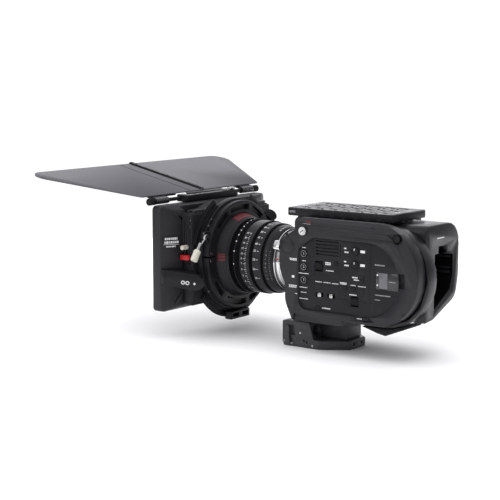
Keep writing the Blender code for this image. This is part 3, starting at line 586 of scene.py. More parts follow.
def cap_screws(names, node, finish, screws):
    """Screw heads on a node, each (centre, way out, radius), and a piece of black hexagons on them: painted
    shade standing for the sockets.
    """
    heads, sockets = Shape(), Shape()
    for centre, out, radius in screws:
        centre, out = Vector(centre), Vector(out).normalized()
        heads.disc(centre - out * 0.5, centre + out * 0.7, radius, sides=24)
        # Painted shade: a black hexagon stands on each head in place of a recessed socket.
        sockets.disc(centre, centre + out * 0.75, radius * 0.5, sides=6, bevel=0)
    piece(names[0], heads, node, finish)
    piece(names[1], sockets, node, BLACK)


def knurled(shape, start, end, radius, ribs, depth=0.35, cap=0.4):
    """A round knob with ribs along it and a chamfer at its outer end."""
    start, end = Vector(start), Vector(end)
    turn = Vector((0, 1, 0)).rotation_difference(end - start).to_matrix().to_4x4()
    length = (end - start).length
    profile = [
        (radius * 0.30, 0, 0), (radius, 0, depth), (radius, length - cap, depth),
        (radius - cap, length, 0), (radius * 0.72, length, 0), (radius * 0.66, length - 0.4, 0),
        (radius * 0.30, length - 0.4, 0),
    ]
    bm = bmesh.new()
    rib = ((0, 0), (0.5, 0), (0.6, 1), (0.9, 1))
    spokes = [(360 * (k + step) / ribs, low) for k in range(ribs) for step, low in rib]
    loops = []
    for r, y, drop in profile:
        loops.append([bm.verts.new(((r - drop * low) * math.cos(math.radians(a)), y,
                                    (r - drop * low) * math.sin(math.radians(a)))) for a, low in spokes])
    join_loops(bm, zip(loops, loops[1:]))
    bm.faces.new(loops[0])
    bm.faces.new(loops[-1])
    shape.take(bm, place=Matrix.Translation(start) @ turn)


# ---------------------------------------------------------------- camera body


ASSIGN = [tuple(middle(f"assign_button_{i}")[1:]) for i in (1, 2, 3)]
DIALS = [tuple(middle(f"audio_dial_{i}")[1:]) for i in (1, 2)]
PANEL_WHEEL = (71.4, -48.6)

# Raised keys on the panel: (y limits, height limits, corner radius, rise, softened edge).
RAISED_KEYS = (
    ((67.0, 77.4), (-20.4, -15.4), 0.8, 0.3, 0.12), ((79.6, 90.0), (-20.4, -15.4), 0.8, 0.3, 0.12),
    ((92.2, 102.6), (-20.4, -15.4), 0.8, 0.3, 0.12), ((132.2, 140.0), (-21.4, -16.2), 0.8, 0.5, 0.15),
    ((46.0, 54.0), (-34.6, -30.6), 1.6, 0.35, 0.15),
)


def control_panel():
    face = PANEL_FACE
    recess = Shape().box((face - 0.8, face + 1), (65.4, 79.4), (-0.6, 13.0), bevel=0)
    icon_window = [(66, -25.6), (98, -25.6), (103.2, -29.4), (99.6, -34.6), (67, -34.6), (64, -31.5),
                   (64, -27.6)]
    recess.prism(icon_window, "X", (face - 0.9, face + 1))
    recess.box((face - 0.7, face + 1), (104.6, 106.0), (20.5, 36.5), bevel=0)
    recess.box((face - 0.7, face + 1), (131.6, 139.6), (-8.6, 0.4), bevel=0)
    recess.box((face - 0.5, face + 1), (108.0, 118.4), (-30.6, -29.9), bevel=0)
    recess.box((face - 0.5, face + 1), (134.0, 143.0), (-30.6, -29.9), bevel=0)
    carved("control_panel", PANEL, [recess], soften=0.25)

    raised = Shape()
    for y, height, corner, rise, bevel in RAISED_KEYS:
        raised.prism(rounded_rectangle(y, height, corner), "X", (face - 0.2, face + rise), bevel=bevel)
    for place in ASSIGN + DIALS + [PANEL_WHEEL]:
        raised.lathe_x(place, [(7.0, 0.0), (7.0, 0.45), (6.6, 0.6), (6.3, 0.6), (6.3, 0.0)], face - 0.1)
    piece("panel_raised_keys", raised, "control_panel", PANEL)

    shine = Shape()
    for y0, y1 in ((65.4, 67.8), (80.6, 84.6), (98.4, 101.6)):
        shine.box((face - 0.95, face - 0.35), (y0, y1), (-33.6, -26.6), bevel=0.1)
    piece("icon_window_glass", shine, "control_panel", SMOKED)

    # Painted shade: black fills in the switch slot and behind the vent slots stand for the shade inside them.
    dark = Shape().box((face - 0.5, face + 0.2), (132.6, 138.6), (-7.8, -0.4), bevel=0)
    dark.box((58.2, 60.6), (66.8, 103.8), (19.6, 41.2), bevel=0)
    piece("vent_painted_shade", dark, "control_panel", BLACK)

    small = Shape().box((face - 0.4, face + 0.9), (134.0, 137.2), (-6.4, -2.6), bevel=0.25)
    knurled(small, (face - 0.3, 99.2, 12.2), (face + 1.2, 99.2, 12.2), 2.6, 16)
    knurled(small, (face - 0.3, *PANEL_WHEEL), (face + 0.7, *PANEL_WHEEL), 4.6, 30, depth=0.12)
    piece("panel_small_switches", small, "control_panel", RUBBER)


# Where each piece of small print lies on the panel: (y limits, height limits, rows).
PANEL_PRINT = [
    ((47.0, 52.6), (27.6, 28.9), 1), ((47.0, 52.6), (10.6, 11.9), 1), ((41.2, 57.8), (-5.6, -4.3), 1),
    ((43.4, 56.0), (-23.6, -22.3), 1), ((43.4, 56.2), (-38.2, -36.9), 1), ((45.2, 54.4), (-29.9, -28.9), 1),
    ((82.6, 90.6), (8.6, 12.8), 2), ((83.6, 95.2), (1.2, 2.6), 1),
    ((67.4, 77.4), (-14.2, -12.9), 1), ((80.0, 90.2), (-14.2, -12.9), 1), ((92.8, 102.4), (-14.4, -13.1), 1),
    ((104.6, 115.6), (-13.6, -10.6), 2), ((120.2, 128.4), (-13.8, -12.5), 1),
    ((131.4, 143.6), (-14.2, -12.9), 1),
    ((110.4, 113.6), (31.0, 33.4), 1), ((111.0, 117.2), (26.4, 28.8), 1),
    ((110.4, 113.6), (14.4, 16.8), 1), ((111.0, 117.2), (9.8, 12.2), 1),
    ((122.6, 130.4), (-4.4, -2.0), 1), ((125.0, 132.4), (-7.0, -5.2), 1),
    ((118.6, 130.4), (-26.0, -24.4), 1), ((76.8, 91.2), (-47.6, -45.8), 1),
]
COVER_PRINT = [
    ((46.8, 59.6), (57.4, 58.8), 1), ((29.0, 40.2), (10.4, 13.8), 2),
    ((28.2, 40.4), (-24.8, -20.8), 2), ((37.6, 40.8), (-32.6, -31.2), 1),
]


def body_print():
    white = Shape()
    for i, (y, height, rows) in enumerate(PANEL_PRINT):
        small_print(white, PANEL_FACE, y, height, rows, seed=i)
    for i, (y, height, rows) in enumerate(COVER_PRINT):
        small_print(white, cover_face(max(height)), y, height, rows, seed=40 + i)
    for height in (30.3, 13.2):
        white.box((PANEL_FACE, PANEL_FACE + PRINT), (134.2, 140.8), (height - 1.6, height + 1.6), bevel=0)
    white.box((COVER_FACE, COVER_FACE + PRINT), (32.6, 36.4), (-11.4, -8.4), bevel=0)
    piece("body_print", white, "left_cover", WHITE)
    red = Shape()
    outer = cover_face(60.2)
    red.box((outer, outer + PRINT), (52.0, 59.0), (60.2, 62.8), bevel=0)
    piece("record_mark", red, "left_cover", DIM_RED)


def assign_buttons():
    for i, (y, height) in enumerate(ASSIGN, start=1):
        node = f"assign_button_{i}"
        inner, face = limits(node)[0]
        button = Shape()
        button.lathe_x((y, height), [(4.9, 0), (4.9, face - inner - 0.5), (4.4, face - inner),
                                     (3.6, face - inner), (2.6, face - inner - 0.5),
                                     (0, face - inner - 0.7)], inner)
        piece(node + "_cap", button, node, RUBBER, [node])
        ring = Shape().lathe_x((y, height), [(4.15, 0), (4.15, 0.12), (3.75, 0.12), (3.75, 0)], face - 0.06)
        figure = Shape()
        figure.letters(str(i), 4.2, lambda u, v, w, y=y, h=height, f=face: (f - 0.62 + w, y + u, h + v))
        piece(node + "_figure", figure, node, WHITE)
        piece(node + "_ring", ring, node, DIM_WHITE)


def record_button():
    inner, face = limits("record_button")[0]
    y, height = place = tuple(middle("record_button")[1:])
    depth = face - inner
    cap = Shape()
    cap.lathe_x(place, [(0, 0), (5.4, 0), (5.4, depth - 0.8), (4.9, depth - 0.3), (4.0, depth), (0, depth)],
                inner)
    piece("record_button_cap", cap, "record_button", MATT_STEEL, ["record_button"])
    slash = Shape()
    slash.prism([(y - 2.6, height - 1.3), (y - 2.2, height - 2.1), (y + 2.6, height + 1.3),
                 (y + 2.2, height + 2.1)], "X", (face - 0.02, face + 0.05))
    piece("record_button_mark", slash, "record_button", RUBBER)
    collar = Shape()
    collar.lathe_x(place, [(7.6, 0), (7.6, 0.4), (7.0, 0.8), (6.0, 0.8), (6.0, 0)], COVER_FACE - 0.05)
    piece("record_collar", collar, "left_cover", SATIN_SHELL)


def dials_and_wheels():
    for i, (y, height) in enumerate(DIALS, start=1):
        node = f"audio_dial_{i}"
        inner, face = limits(node)[0]
        dial = Shape()
        knurled(dial, (inner, y, height), (face, y, height), 6.0, 30, depth=0.3)
        slot = Shape()
        slot.box((face - 0.6, face - 0.1), (y - 0.5, y + 0.5), (height + 0.8, height + 3.8), bevel=0.1)
        piece(node + "_cap", dial, node, RUBBER, [node])
        piece(node + "_mark", slot, node, WHITE)

    for name, ribs in (("nd_wheel", 26), ("select_wheel", 30)):
        x, _, height = middle(name)
        start, end = limits(name)[1]
        wheel = Shape()
        knurled(wheel, (x, start, height), (x, end, height), 5.95, ribs, depth=0.4, cap=0.3)
        piece(name + "_ribbed", wheel, name, RUBBER, [name])


def keys_and_switches():
    for name, ribs in (("menu_key_1", 0), ("menu_key_2", 0), ("gain_switch", 3), ("white_balance_switch", 3)):
        x, y, height = limits(name)
        cap = Shape().box(x, y, height, bevel=0.4)
        for k in range(ribs):
            centre = y[0] + (y[1] - y[0]) * (k + 1) / (ribs + 1)
            cap.box((x[1] - 0.3, x[1]), (centre - 0.25, centre + 0.25), (height[0] + 0.6, height[1] - 0.6),
                    bevel=0.1)
        piece(name + "_cap", cap, name, STEEL if ribs else RUBBER, [name])


# Small print on the door: (depth under its face, y limits, height limits).
DOOR_PRINT = (
    (0.28, (176.0, 186.0), (-4.6, -3.2)), (0.0, (156.4, 178.0), (-22.6, -20.8)),
    (0.0, (156.0, 164.0), (-28.4, -27.0)), (0.0, (155.4, 169.4), (14.6, 16.6)),
)


def media_door():
    face = DOOR_FACE
    recess = Shape().prism(rounded_rectangle((156.6, 189.2), (-14.6, 7.6), 0.6), "X", (face - 0.9, face + 1))
    carved("media_door", PANEL, [recess], soften=0.2)
    milky = Shape().box((face - 0.95, face - 0.3), (161.6, 173.4), (-13.2, 6.4), bevel=0.15)
    piece("door_window_left", milky, "media_door", MILKY)
    smoked = Shape().box((face - 0.95, face - 0.35), (157.0, 161.4), (-14.2, 7.2), bevel=0.1)
    smoked.box((face - 0.95, face - 0.3), (173.6, 188.8), (-14.2, 7.2), bevel=0.15)
    piece("door_window_right", smoked, "media_door", SMOKED)
    lamps = Shape()
    for height in (3.4, -9.0):
        lamps.disc((face - 0.4, 159.2, height), (face - 0.2, 159.2, height), 1.1, sides=20, bevel=0)
    piece("card_lamps", lamps, "media_door", WHITE)
    marks = Shape()
    for i, (depth, y, height) in enumerate(DOOR_PRINT):
        small_print(marks, face - depth, y, height, 1, seed=90 + i)
    piece("door_print", marks, "media_door", DIM_WHITE)


# The left cover's face above the panel, from the side: (height, how far it has bent in).
FOREHEAD = ((43.5, 0.0), (49.0, 0.6), (56.0, 2.0), (62.0, 4.4), (67.0, 7.5))


def cover_face(height):
    """How far out the left cover's face is: flat up to the panel's top, then bending in."""
    for (low, near), (high, far) in zip(FOREHEAD, FOREHEAD[1:]):
        if low <= height < high:
            return COVER_FACE - near - (far - near) * (height - low) / (high - low)
    return COVER_FACE


def left_cover():
    face = COVER_FACE
    forehead = Shape()
    curve = [(face - depth, height) for height, depth in FOREHEAD]
    forehead.prism([*curve, (face + 3, 70.0), (face + 3, 43.0), (face + 0.02, 43.0)], "Y", (5.0, 225.0))
    knob_scoop = Shape().disc((face - 5.0, 187.4, 49.6), (face + 2.0, 187.4, 49.6), 6.6, sides=28, bevel=0)
    strap_scoop = Shape()
    strap_scoop.prism([(172.0, 54.2), (183.0, 56.0), (183.0, 47.0), (176.0, 50.4)], "X",
                      (face - 3.0, face + 2))
    power_scoop = Shape()
    power_scoop.prism([(124, -49.4), (151, -50.6), (157, -56.6), (131, -58.0)], "X", (face - 2.2, face + 1))
    toe = Shape().prism([(36, -56), (50, -66), (52, -72), (32, -72)], "X", (face - 1.2, face + 1))
    carved("left_cover", SHELL, [forehead, knob_scoop, strap_scoop, power_scoop, toe])

    knob = Shape()
    knurled(knob, (face - 4.4, 186.5, 50.0), (face - 0.2, 186.5, 50.0), 4.6, 24)
    piece("strap_knob", knob, "left_cover", RUBBER)
    power = Shape().box((face - 2.4, face - 0.6), (138.6, 148.0), (-55.6, -51.6), bevel=0.5)
    piece("power_switch", power, "left_cover", PANEL)
    mark = Shape()
    small_print(mark, face - 2.25, (130.0, 137.0), (-55.0, -53.6), 1, seed=71)
    piece("power_print", mark, "left_cover", WHITE)
    places = ((24.5, 44.0), (27.0, -50.0), (110.0, -61.0), (197.0, -42.0), (150.0, 60.2))
    cap_screws(("cover_screws", "cover_screw_sockets"), "left_cover", ANODISED,
               [((cover_face(height) - 0.35, y, height), (1, 0, 0), 1.7) for y, height in places])


def mid_frame():
    carved("mid_frame", SATIN_SHELL)


def right_cover():
    """The far side: an air outlet, a connector door and two round connectors."""
    x0 = limits("right_cover")[0][0]
    tools = Shape()
    for k in range(9):
        tools.box((x0 - 1, x0 + 1.6), (24.0 + 5.0 * k, 26.6 + 5.0 * k), (-18.0, 30.0), bevel=0)
    tools.prism(rounded_rectangle((78.0, 136.0), (-46.0, 20.0), 4.0), "X", (x0 - 1, x0 + 1.2))
    carved("right_cover", SHELL, [tools])
    door = Shape()
    door.prism(rounded_rectangle((78.6, 135.4), (-45.4, 19.4), 3.6), "X", (x0 + 0.3, x0 + 1.2), bevel=0.3)
    door.box((x0 + 0.1, x0 + 0.8), (126.0, 133.0), (-18.0, -8.0), bevel=0.3)
    piece("connector_door", door, "right_cover", PANEL)
    rims, pins = Shape(), Shape()
    for y, height in ((98.0, 40.0), (122.0, 40.0)):
        rims.disc((x0, y, height), (x0 + 1.6, y, height), 8.2, sides=40, bevel=0)
        for k in range(3):
            angle = math.radians(90 + 120 * k)
            pin = (y + 3.4 * math.cos(angle), height + 3.4 * math.sin(angle))
            pins.disc((x0 - 0.05, *pin), (x0 + 0.4, *pin), 1.2, sides=12, bevel=0)
    piece("connector_rims", rims, "right_cover", PANEL)
    piece("connector_pins", pins, "right_cover", GOLD)
    places = ((14.5, 54.0), (14.5, -54.0), (143.0, 54.0), (143.0, -54.0), (60.0, -54.0), (70.0, 54.0))
    cap_screws(("right_cover_screws", "right_cover_sockets"), "right_cover", ANODISED,
               [((x0 + 0.55, *place), (-1, 0, 0), 1.7) for place in places])


def battery_end():
    carved("battery_shell", SATIN_SHELL)
    rear = limits("battery_shell")[1][1]
    mark = Shape().box((-20.0, -2.0), (rear - 0.02, rear + 0.1), (44.6, 46.0), bevel=0)
    piece("rear_mark", mark, "battery_shell", WHITE)
    contacts = Shape()
    cx, cy, ch = limits("battery_contacts")
    contacts.box(cx, cy, ch, bevel=0.8)
    for k in range(5):
        contacts.box((cx[0] + 1.4 + 3.7 * k, cx[0] + 3.4 + 3.7 * k), (cy[1] - 0.6, cy[1]),
                     (ch[0] + 3, ch[1] - 3), bevel=0.2)
    piece("contact_block", contacts, "battery_contacts", PANEL, ["battery_contacts"])
    blades = Shape()
    for k in range(4):
        left = cx[0] + 4.0 + 3.7 * k
        blades.box((left, left + 0.8), (cy[1] - 2.0, cy[1] - 0.05), (ch[0] + 6, ch[1] - 8), bevel=0.1)
    piece("contact_blades", blades, "battery_contacts", GOLD)
    corners = [(2.8, 25.8), (-43.0, 25.8), (-43.8, 18.0), (-43.8, -5.0), (-36.0, -23.5), (2.8, -44.4)]
    # Painted shade: a near-black sheet lines the battery bay's walls, where shade falls inside it.
    lining = Shape()
    for first, second in zip(corners, corners[1:] + corners[:1]):
        inward = Vector((second[1] - first[1], first[0] - second[0])).normalized() * -0.35
        outline = [first, second, (second[0] + inward.x, second[1] + inward.y),
                   (first[0] + inward.x, first[1] + inward.y)]
        lining.prism(outline, "Y", (157.2, 204.7))
    lining.box((-43.6, 2.6), (157.1, 157.6), (-44.0, 25.6), bevel=0)
    piece("bay_painted_shade", lining, "battery_shell", INNER)
    rails = Shape()
    for side, x_wall in ((1, 1.9), (-1, -42.6)):
        for height in (18.0, 4.0, -12.0 if side > 0 else -2.0):
            rails.box(sorted((x_wall, x_wall + side * 1.3)), (162.0, 201.0), (height - 1.2, height + 1.2))
    piece("bay_rails", rails, "battery_shell", PANEL)


# ---------------------------------------------------------------- top plate


PLATE_ROWS = [27.0 + 20.0 * row for row in range(7)]
PLATE_POCKET = ((-4.6, -1.8), (4.6, -1.8), (4.6, 1.8), (-4.6, 1.8))
# The height where the flat band around the plate's edge begins.
EDGE_BAND_FOOT = 65.0


def top_plate():
    """Rows of round holes with countersinks, and the zigzag of pockets between them."""
    (_, edge), _, (_, top) = limits("top_plate")
    tools = Shape()
    for row in PLATE_ROWS[:-1]:
        for column, lean in ((-26.0, 1), (0.0, -1), (26.0, 1)):
            for end in (-1, 1):
                turn = math.radians(38 * lean * end)
                outline = [
                    (column + end * 6.2 + u * math.cos(turn) - v * math.sin(turn),
                     row + 10.0 + u * math.sin(turn) + v * math.cos(turn)) for u, v in PLATE_POCKET
                ]
                tools.prism(outline, "Z", (top - 3.0, top + 1))
    carved("top_plate", PLATE, [tools], soften=0.35)
    sinks = Shape()
    for row in PLATE_ROWS:
        for column in (-26.0, 0.0, 26.0):
            sinks.lathe_z((column, row), [(4.6, -0.3), (4.6, 0.18), (4.1, 0.3), (2.7, 0.02), (2.7, -0.3)],
                          top - 0.1)
        for column in (-13.0, 13.0):
            sinks.lathe_z((column, row), [(2.7, -0.3), (2.7, 0.12), (2.3, 0.2), (1.6, 0.02), (1.6, -0.3)],
                          top - 0.1)
    piece("plate_countersinks", sinks, "top_plate", ANODISED)
    # Painted shade: the side holes are black discs on the plate's edge, not cut, standing for the shade
    # inside the holes.
    side_holes, rims = Shape(), Shape()
    for k in range(8):
        place = (26.0 + 17.2 * k, (top + EDGE_BAND_FOOT) / 2)
        for side in (-1, 1):
            side_holes.disc((side * (edge - 1.0), *place), (side * (edge + 0.06), *place), 2.6, sides=24,
                            bevel=0)
            rims.lathe_x(place, [(3.3, 0), (3.3, 0.25), (2.6, 0.25), (2.6, 0)], side * (edge + 0.1) - 0.12)
    piece("plate_side_holes", side_holes, "top_plate", BLACK)
    piece("plate_side_rims", rims, "top_plate", PLATE)
    mark = Shape()
    small_print(mark, edge, (11.6, 20.8), (68.6, 71.6), 2, seed=60)
    piece("plate_print", mark, "top_plate", DIM_WHITE)
    cap_screws(("plate_screws", "plate_screw_sockets"), "top_plate", STEEL,
               [((x, y, top - 0.5), (0, 0, 1), 3.2) for x in (-13.0, 13.0) for y in (17.0, 157.0)])


# ---------------------------------------------------------------- lens


def around(angle):
    """Turns a place on the +X side of the lens axis by this many degrees towards the top."""
    return Matrix.Rotation(-math.radians(angle), 4, "Y")


def ring_figures(shape, text, size, radius, y, angle):
    """Figures printed on a ring, upright to someone who stands on the operator's side."""
    def wrap(u, v, w):
        turn = math.radians(angle) + v / radius
        return ((radius + w) * math.cos(turn), y + u, (radius + w) * math.sin(turn))
    shape.letters(text, size, wrap)


def ring_tick(shape, radius, y, angle, length=2.0, width=0.5):
    shape.box((radius - 0.1, radius + 0.1), (y - length / 2, y + length / 2), (-width / 2, width / 2),
              bevel=0, place=around(angle))


# The barrel's cone, from its small end: (radius, y). Its red marks lie on it between two angles.
CONE_START = (52.2, -84.8)
CONE_END = (56.4, -96.4)
RED_ARCS = ((66, 104), (-2.6, 0.6), (1.6, 4.8), (5.8, 7.6))
# The bore's radius in the focus, zoom and iris rings, which turn on the lens's core.
RING_BORE = 39.3


def lens_barrel():
    front, rear = limits("lens_front_barrel")[1]
    barrel = Shape().lathe([
        (50.6, rear), (51.2, rear - 0.6), (52.0, -83.6), (51.6, -83.9), (51.6, -84.5), CONE_START,
        CONE_END, (56.7, -97.2), (56.7, front + 0.6), (56.2, front), (54.6, front), (54.0, front + 0.6),
        (52.6, -109.6), (52.6, -108.8), (51.4, -106.6), (51.4, -105.8), (50.2, -103.6), (50.2, -102.8),
        (48.4, -100.0), (48.0, -99.0), (48.0, -90.0), (42.0, -90.0), (42.0, rear),
    ], sides=144)
    piece("front_barrel_turned", barrel, "lens_front_barrel", LENS, ["lens_front_barrel"])
    band = Shape()
    band.lathe([(47.9, -90.1), (47.9, -103.0), (46.6, -103.0), (46.1, -96.0), (46.1, -90.1)], sides=96)
    piece("front_retainer", band, "lens_front_barrel", LENS_DARK)
    red = Shape()
    steps = [Vector(CONE_START).lerp(Vector(CONE_END), k / 4) for k in range(5)]
    cone = [(step.x + 0.25, step.y) for step in steps]
    for start, end in RED_ARCS:
        bm = bmesh.new()
        rows = []
        for k in range(9):
            angle = math.radians(start + (end - start) * k / 8)
            rows.append([bm.verts.new((r * math.cos(angle), y, r * math.sin(angle))) for r, y in cone])
        for first, second in zip(rows, rows[1:]):
            for k in range(len(cone) - 1):
                bm.faces.new((first[k], first[k + 1], second[k + 1], second[k]))
        red.take(bm)
    obj = piece("barrel_red_marks", red, "lens_front_barrel", DIM_RED)
    thick = obj.modifiers.new("thickness", "SOLIDIFY")
    thick.thickness = 0.3 * MM
    glass = Shape()
    front, rear = limits("front_element")[1]
    edge = rear - 3.0
    dome = []
    for k in range(16):
        radius = 45.9 * math.sin(math.radians(4 * k)) / math.sin(math.radians(60))
        dome.append((radius, edge - (edge - front) * math.sqrt(max(0.0, 1 - (radius / 46.6) ** 2))))
    glass.lathe([(0.0, rear)] + dome + [(45.9, rear)])
    piece("front_glass", glass, "front_element", GLASS, ["front_element"])


# Scales on the rings: (angle above the operator's side, figure).
FOCUS_SCALE = (
    (46, "30"), (37, "20"), (28, "15"), (19.5, "12"), (11, "10"), (3.5, "8"), (-4.5, "7"), (-14, "6"),
    (-25, "5"), (-36, "4"), (-50, "3"), (-68, "2"),
)
ZOOM_SCALE = (
    (75, "70"), (63.5, "60"), (52, "50"), (40.5, "45"), (29, "40"), (17.5, "35"), (3.5, "30"), (-12, "24"),
    (-28, "20"),
)
IRIS_SCALE = (
    (20, "2"), (12.5, "2.8"), (5.5, "4"), (-1.5, "5.6"), (-8.5, "8"), (-15.5, "11"), (-22.5, "16"),
    (-29.5, "22"),
)


def focus_ring():
    front, rear = limits("focus_ring")[1]
    ring = Shape().geared([
        (50.4, -73.2, 0), (51.0, -73.4, 1.3), (51.0, front + 0.3, 1.3), (50.4, front, 0),
        (RING_BORE, front, 0), (RING_BORE, -73.2, 0),
    ], 127)
    ring.geared([
        (49.6, -64.9, 0), (49.9, -65.2, 0.35), (49.9, -71.9, 0.35), (49.6, -72.2, 0), (46.0, -72.2, 0),
        (46.0, -64.9, 0),
    ], 180)
    piece("focus_gear", ring, "focus_ring", LENS_DARK, ["focus_ring"])
    band = Shape().lathe([
        (48.6, rear), (49.2, rear - 0.5), (49.2, -64.2), (48.7, -64.7), (48.7, -65.2), (RING_BORE, -65.2),
        (RING_BORE, rear),
    ], sides=144)
    band.lathe([(50.2, -71.9), (50.7, -72.2), (50.7, -73.1), (50.2, -73.4), (45.0, -73.4), (45.0, -71.9)],
               sides=144)
    piece("focus_band", band, "focus_ring", LENS)
    marks = Shape()
    for angle, text in FOCUS_SCALE:
        ring_figures(marks, text, 3.6, 49.25, -60.6, angle)
        ring_tick(marks, 49.25, -55.6, angle, 3.4)
        for k in (1, 2):
            ring_tick(marks, 49.25, -54.6, angle - 3.1 * k, 1.6, 0.35)
    for angle in (86, 77, 67, 57.5, 49, 40, 29, 13.5, -6):
        marks.box((50.55, 50.85), (-73.1, -71.7), (-0.8, 0.8), bevel=0, place=around(angle))
    for angle in range(120, 280, 9):
        ring_figures(marks, str(2 + (280 - angle) // 9), 3.2, 49.25, -60.6, angle)
        ring_tick(marks, 49.25, -55.6, angle, 3.0)
    piece("focus_scale", marks, "focus_ring", WHITE)


def zoom_ring():
    front, rear = limits("zoom_ring")[1]
    ring = Shape().geared([
        (48.4, -43.9, 0), (49.4, -44.3, 1.25), (49.4, front + 0.3, 1.25), (48.6, front, 0),
        (RING_BORE, front, 0), (RING_BORE, -43.9, 0),
    ], 123)
    piece("zoom_gear", ring, "zoom_ring", LENS_DARK, ["zoom_ring"])
    band = Shape().lathe([
        (46.6, rear), (47.2, rear - 0.5), (47.9, -42.0), (48.1, -43.9), (RING_BORE, -43.9), (RING_BORE, rear),
    ], sides=144)
    piece("zoom_band", band, "zoom_ring", LENS)
    marks = Shape()
    for angle, text in ZOOM_SCALE:
        ring_figures(marks, text, 4.2, 47.95, -41.0, angle)
        ring_tick(marks, 47.55, -36.4, angle, 2.6, 0.6)
    piece("zoom_scale", marks, "zoom_ring", WHITE)


def iris_ring():
    front, rear = limits("iris_ring")[1]
    ring = Shape().geared([
        (46.2, -27.6, 0), (47.0, -28.0, 1.2), (47.0, front + 0.3, 1.2), (46.2, front, 0),
        (RING_BORE, front, 0), (RING_BORE, -27.6, 0),
    ], 117)
    piece("iris_gear", ring, "iris_ring", LENS_DARK, ["iris_ring"])
    band = Shape().lathe([
        (42.4, rear), (43.0, rear - 0.5), (44.2, -20.4), (44.0, -20.7), (44.0, -21.1), (44.5, -21.4),
        (45.3, -26.0), (45.8, -27.6), (RING_BORE, -27.6), (RING_BORE, rear),
    ], sides=144)
    piece("iris_band", band, "iris_ring", LENS)
    marks = Shape()
    for angle, text in IRIS_SCALE:
        ring_figures(marks, text, 2.7, 45.05, -24.6, angle)
        ring_tick(marks, 43.9, -19.2, angle, 2.0, 0.45)
        ring_tick(marks, 43.9, -18.9, angle - 3.5, 1.2, 0.3)
    for angle in (66, 73, 80):
        marks.box((43.8, 44.3), (-20.2, -17.2), (-1.4, 1.4), bevel=0, place=around(angle))
    piece("iris_scale", marks, "iris_ring", DIM_WHITE)
    pin = Shape().disc((44.0, -23.0, 0), (47.4, -23.0, 0), 1.6, sides=24, bevel=0.3, place=around(150))
    piece("iris_pin", pin, "iris_ring", STEEL)


def lens_inside():
    core = Shape()
    front, rear = limits("lens_core")[1]
    core.lathe([
        (36.0, rear), (36.0, -14.6), (39.0, -14.6), (39.0, front), (36.0, front), (36.0, -24.0),
        (24.0, -16.0), (24.0, rear),
    ], sides=96)
    tail = Shape().lathe([
        (41.2, rear), (42.0, rear - 0.5), (42.0, -13.4), (41.4, -14.6), (36.2, -14.6), (36.2, rear),
    ], sides=128)
    piece("lens_tail_chrome", tail, "lens_core", CHROME)
    piece("lens_core_turned", core, "lens_core", LENS_DARK, ["lens_core"])
    blades = Shape()
    for k in range(9):
        blades.box((14.0, 32.0), (-35.0, -34.8), (-13.0, 2.0), bevel=0, place=around(40 * k))
    blades.lathe([(34.0, -34.1), (34.0, -34.7), (29.5, -34.7), (29.5, -34.1)])
    piece("iris_blades", blades, "iris_diaphragm", LENS_DARK, ["iris_diaphragm"])
    group = Shape().lathe([
        (35.0, -52.0), (35.0, -62.0), (30, -63.3), (20.0, -65.0), (10, -65.8), (0.0, -66.0), (0.0, -52.0),
    ])
    piece("zoom_glass", group, "zoom_group", GLASS, ["zoom_group"])


def camera_mount():
    front, rear = limits("lens_mount_flange")[1]
    flange = Shape().lathe([
        (34.6, rear), (35.0, rear - 0.4), (35.0, front + 0.4), (34.6, front), (23.0, front), (23.0, rear),
    ])
    piece("chrome_flange", flange, "lens_mount_flange", CHROME, ["lens_mount_flange"])
    ring = Shape().lathe([
        (38.9, -3.7), (39.3, -4.1), (39.3, -5.6), (38.9, -5.9), (38.9, -6.3), (39.3, -6.6), (39.3, -10.5),
        (38.9, -10.9), (35.4, -10.9), (35.4, -3.7),
    ], sides=128)
    for k in range(2):
        place = around(32 + 180 * k)
        ring.prism([(37.5, -4.4), (44.0, -4.4), (44.0, 4.4), (37.5, 4.4)], "Y", (-10.6, -4.0), bevel=0.3,
                   place=place)
        lug = [(43.0, -6.6), (46.4, -6.6), (48.4, -4.0), (48.8, 0), (48.4, 4.0), (46.4, 6.6), (43.0, 6.6)]
        ring.prism(lug, "Y", (-13.6, -4.0), bevel=0.7, place=place)
        for groove in (-2.4, 0.0, 2.4):
            ring.box((48.0, 48.9), (-9.8, -4.8), (groove - 0.35, groove + 0.35), bevel=0.15, place=place)
    piece("lock_ring_chrome", ring, "mount_lock_ring", CHROME, ["mount_lock_ring"])
    dots = Shape().disc((38.6, -8.6, 0), (39.45, -8.6, 0), 1.3, sides=24, bevel=0, place=around(8))
    piece("mount_dot", dots, "mount_lock_ring", RED)


def mount_adapter():
    adapter = Shape().lathe([
        (37.6, ADAPTER_BACK), (38.0, 7.3), (38.0, 4.0), (33.0, 3.7), (33.0, 0.7), (38.0, 0.4), (38.0, -2.9),
        (37.6, -3.3), (23.0, -3.3), (23.0, ADAPTER_BACK),
    ], sides=128)
    adapter.lathe([(47.5, 7.3), (48.5, 6.9), (50.5, 9.0), (50.5, 12.4), (38.0, 12.4), (38.0, 7.3)], sides=128)
    piece("adapter_turned", adapter, "mount_adapter", ANODISED, ["mount_adapter"])
    throat = Shape().lathe([(22.9, 12.0), (22.9, -10.6), (21.8, -10.6), (21.8, 12.0)])
    piece("throat_lining", throat, "mount_adapter", INNER)


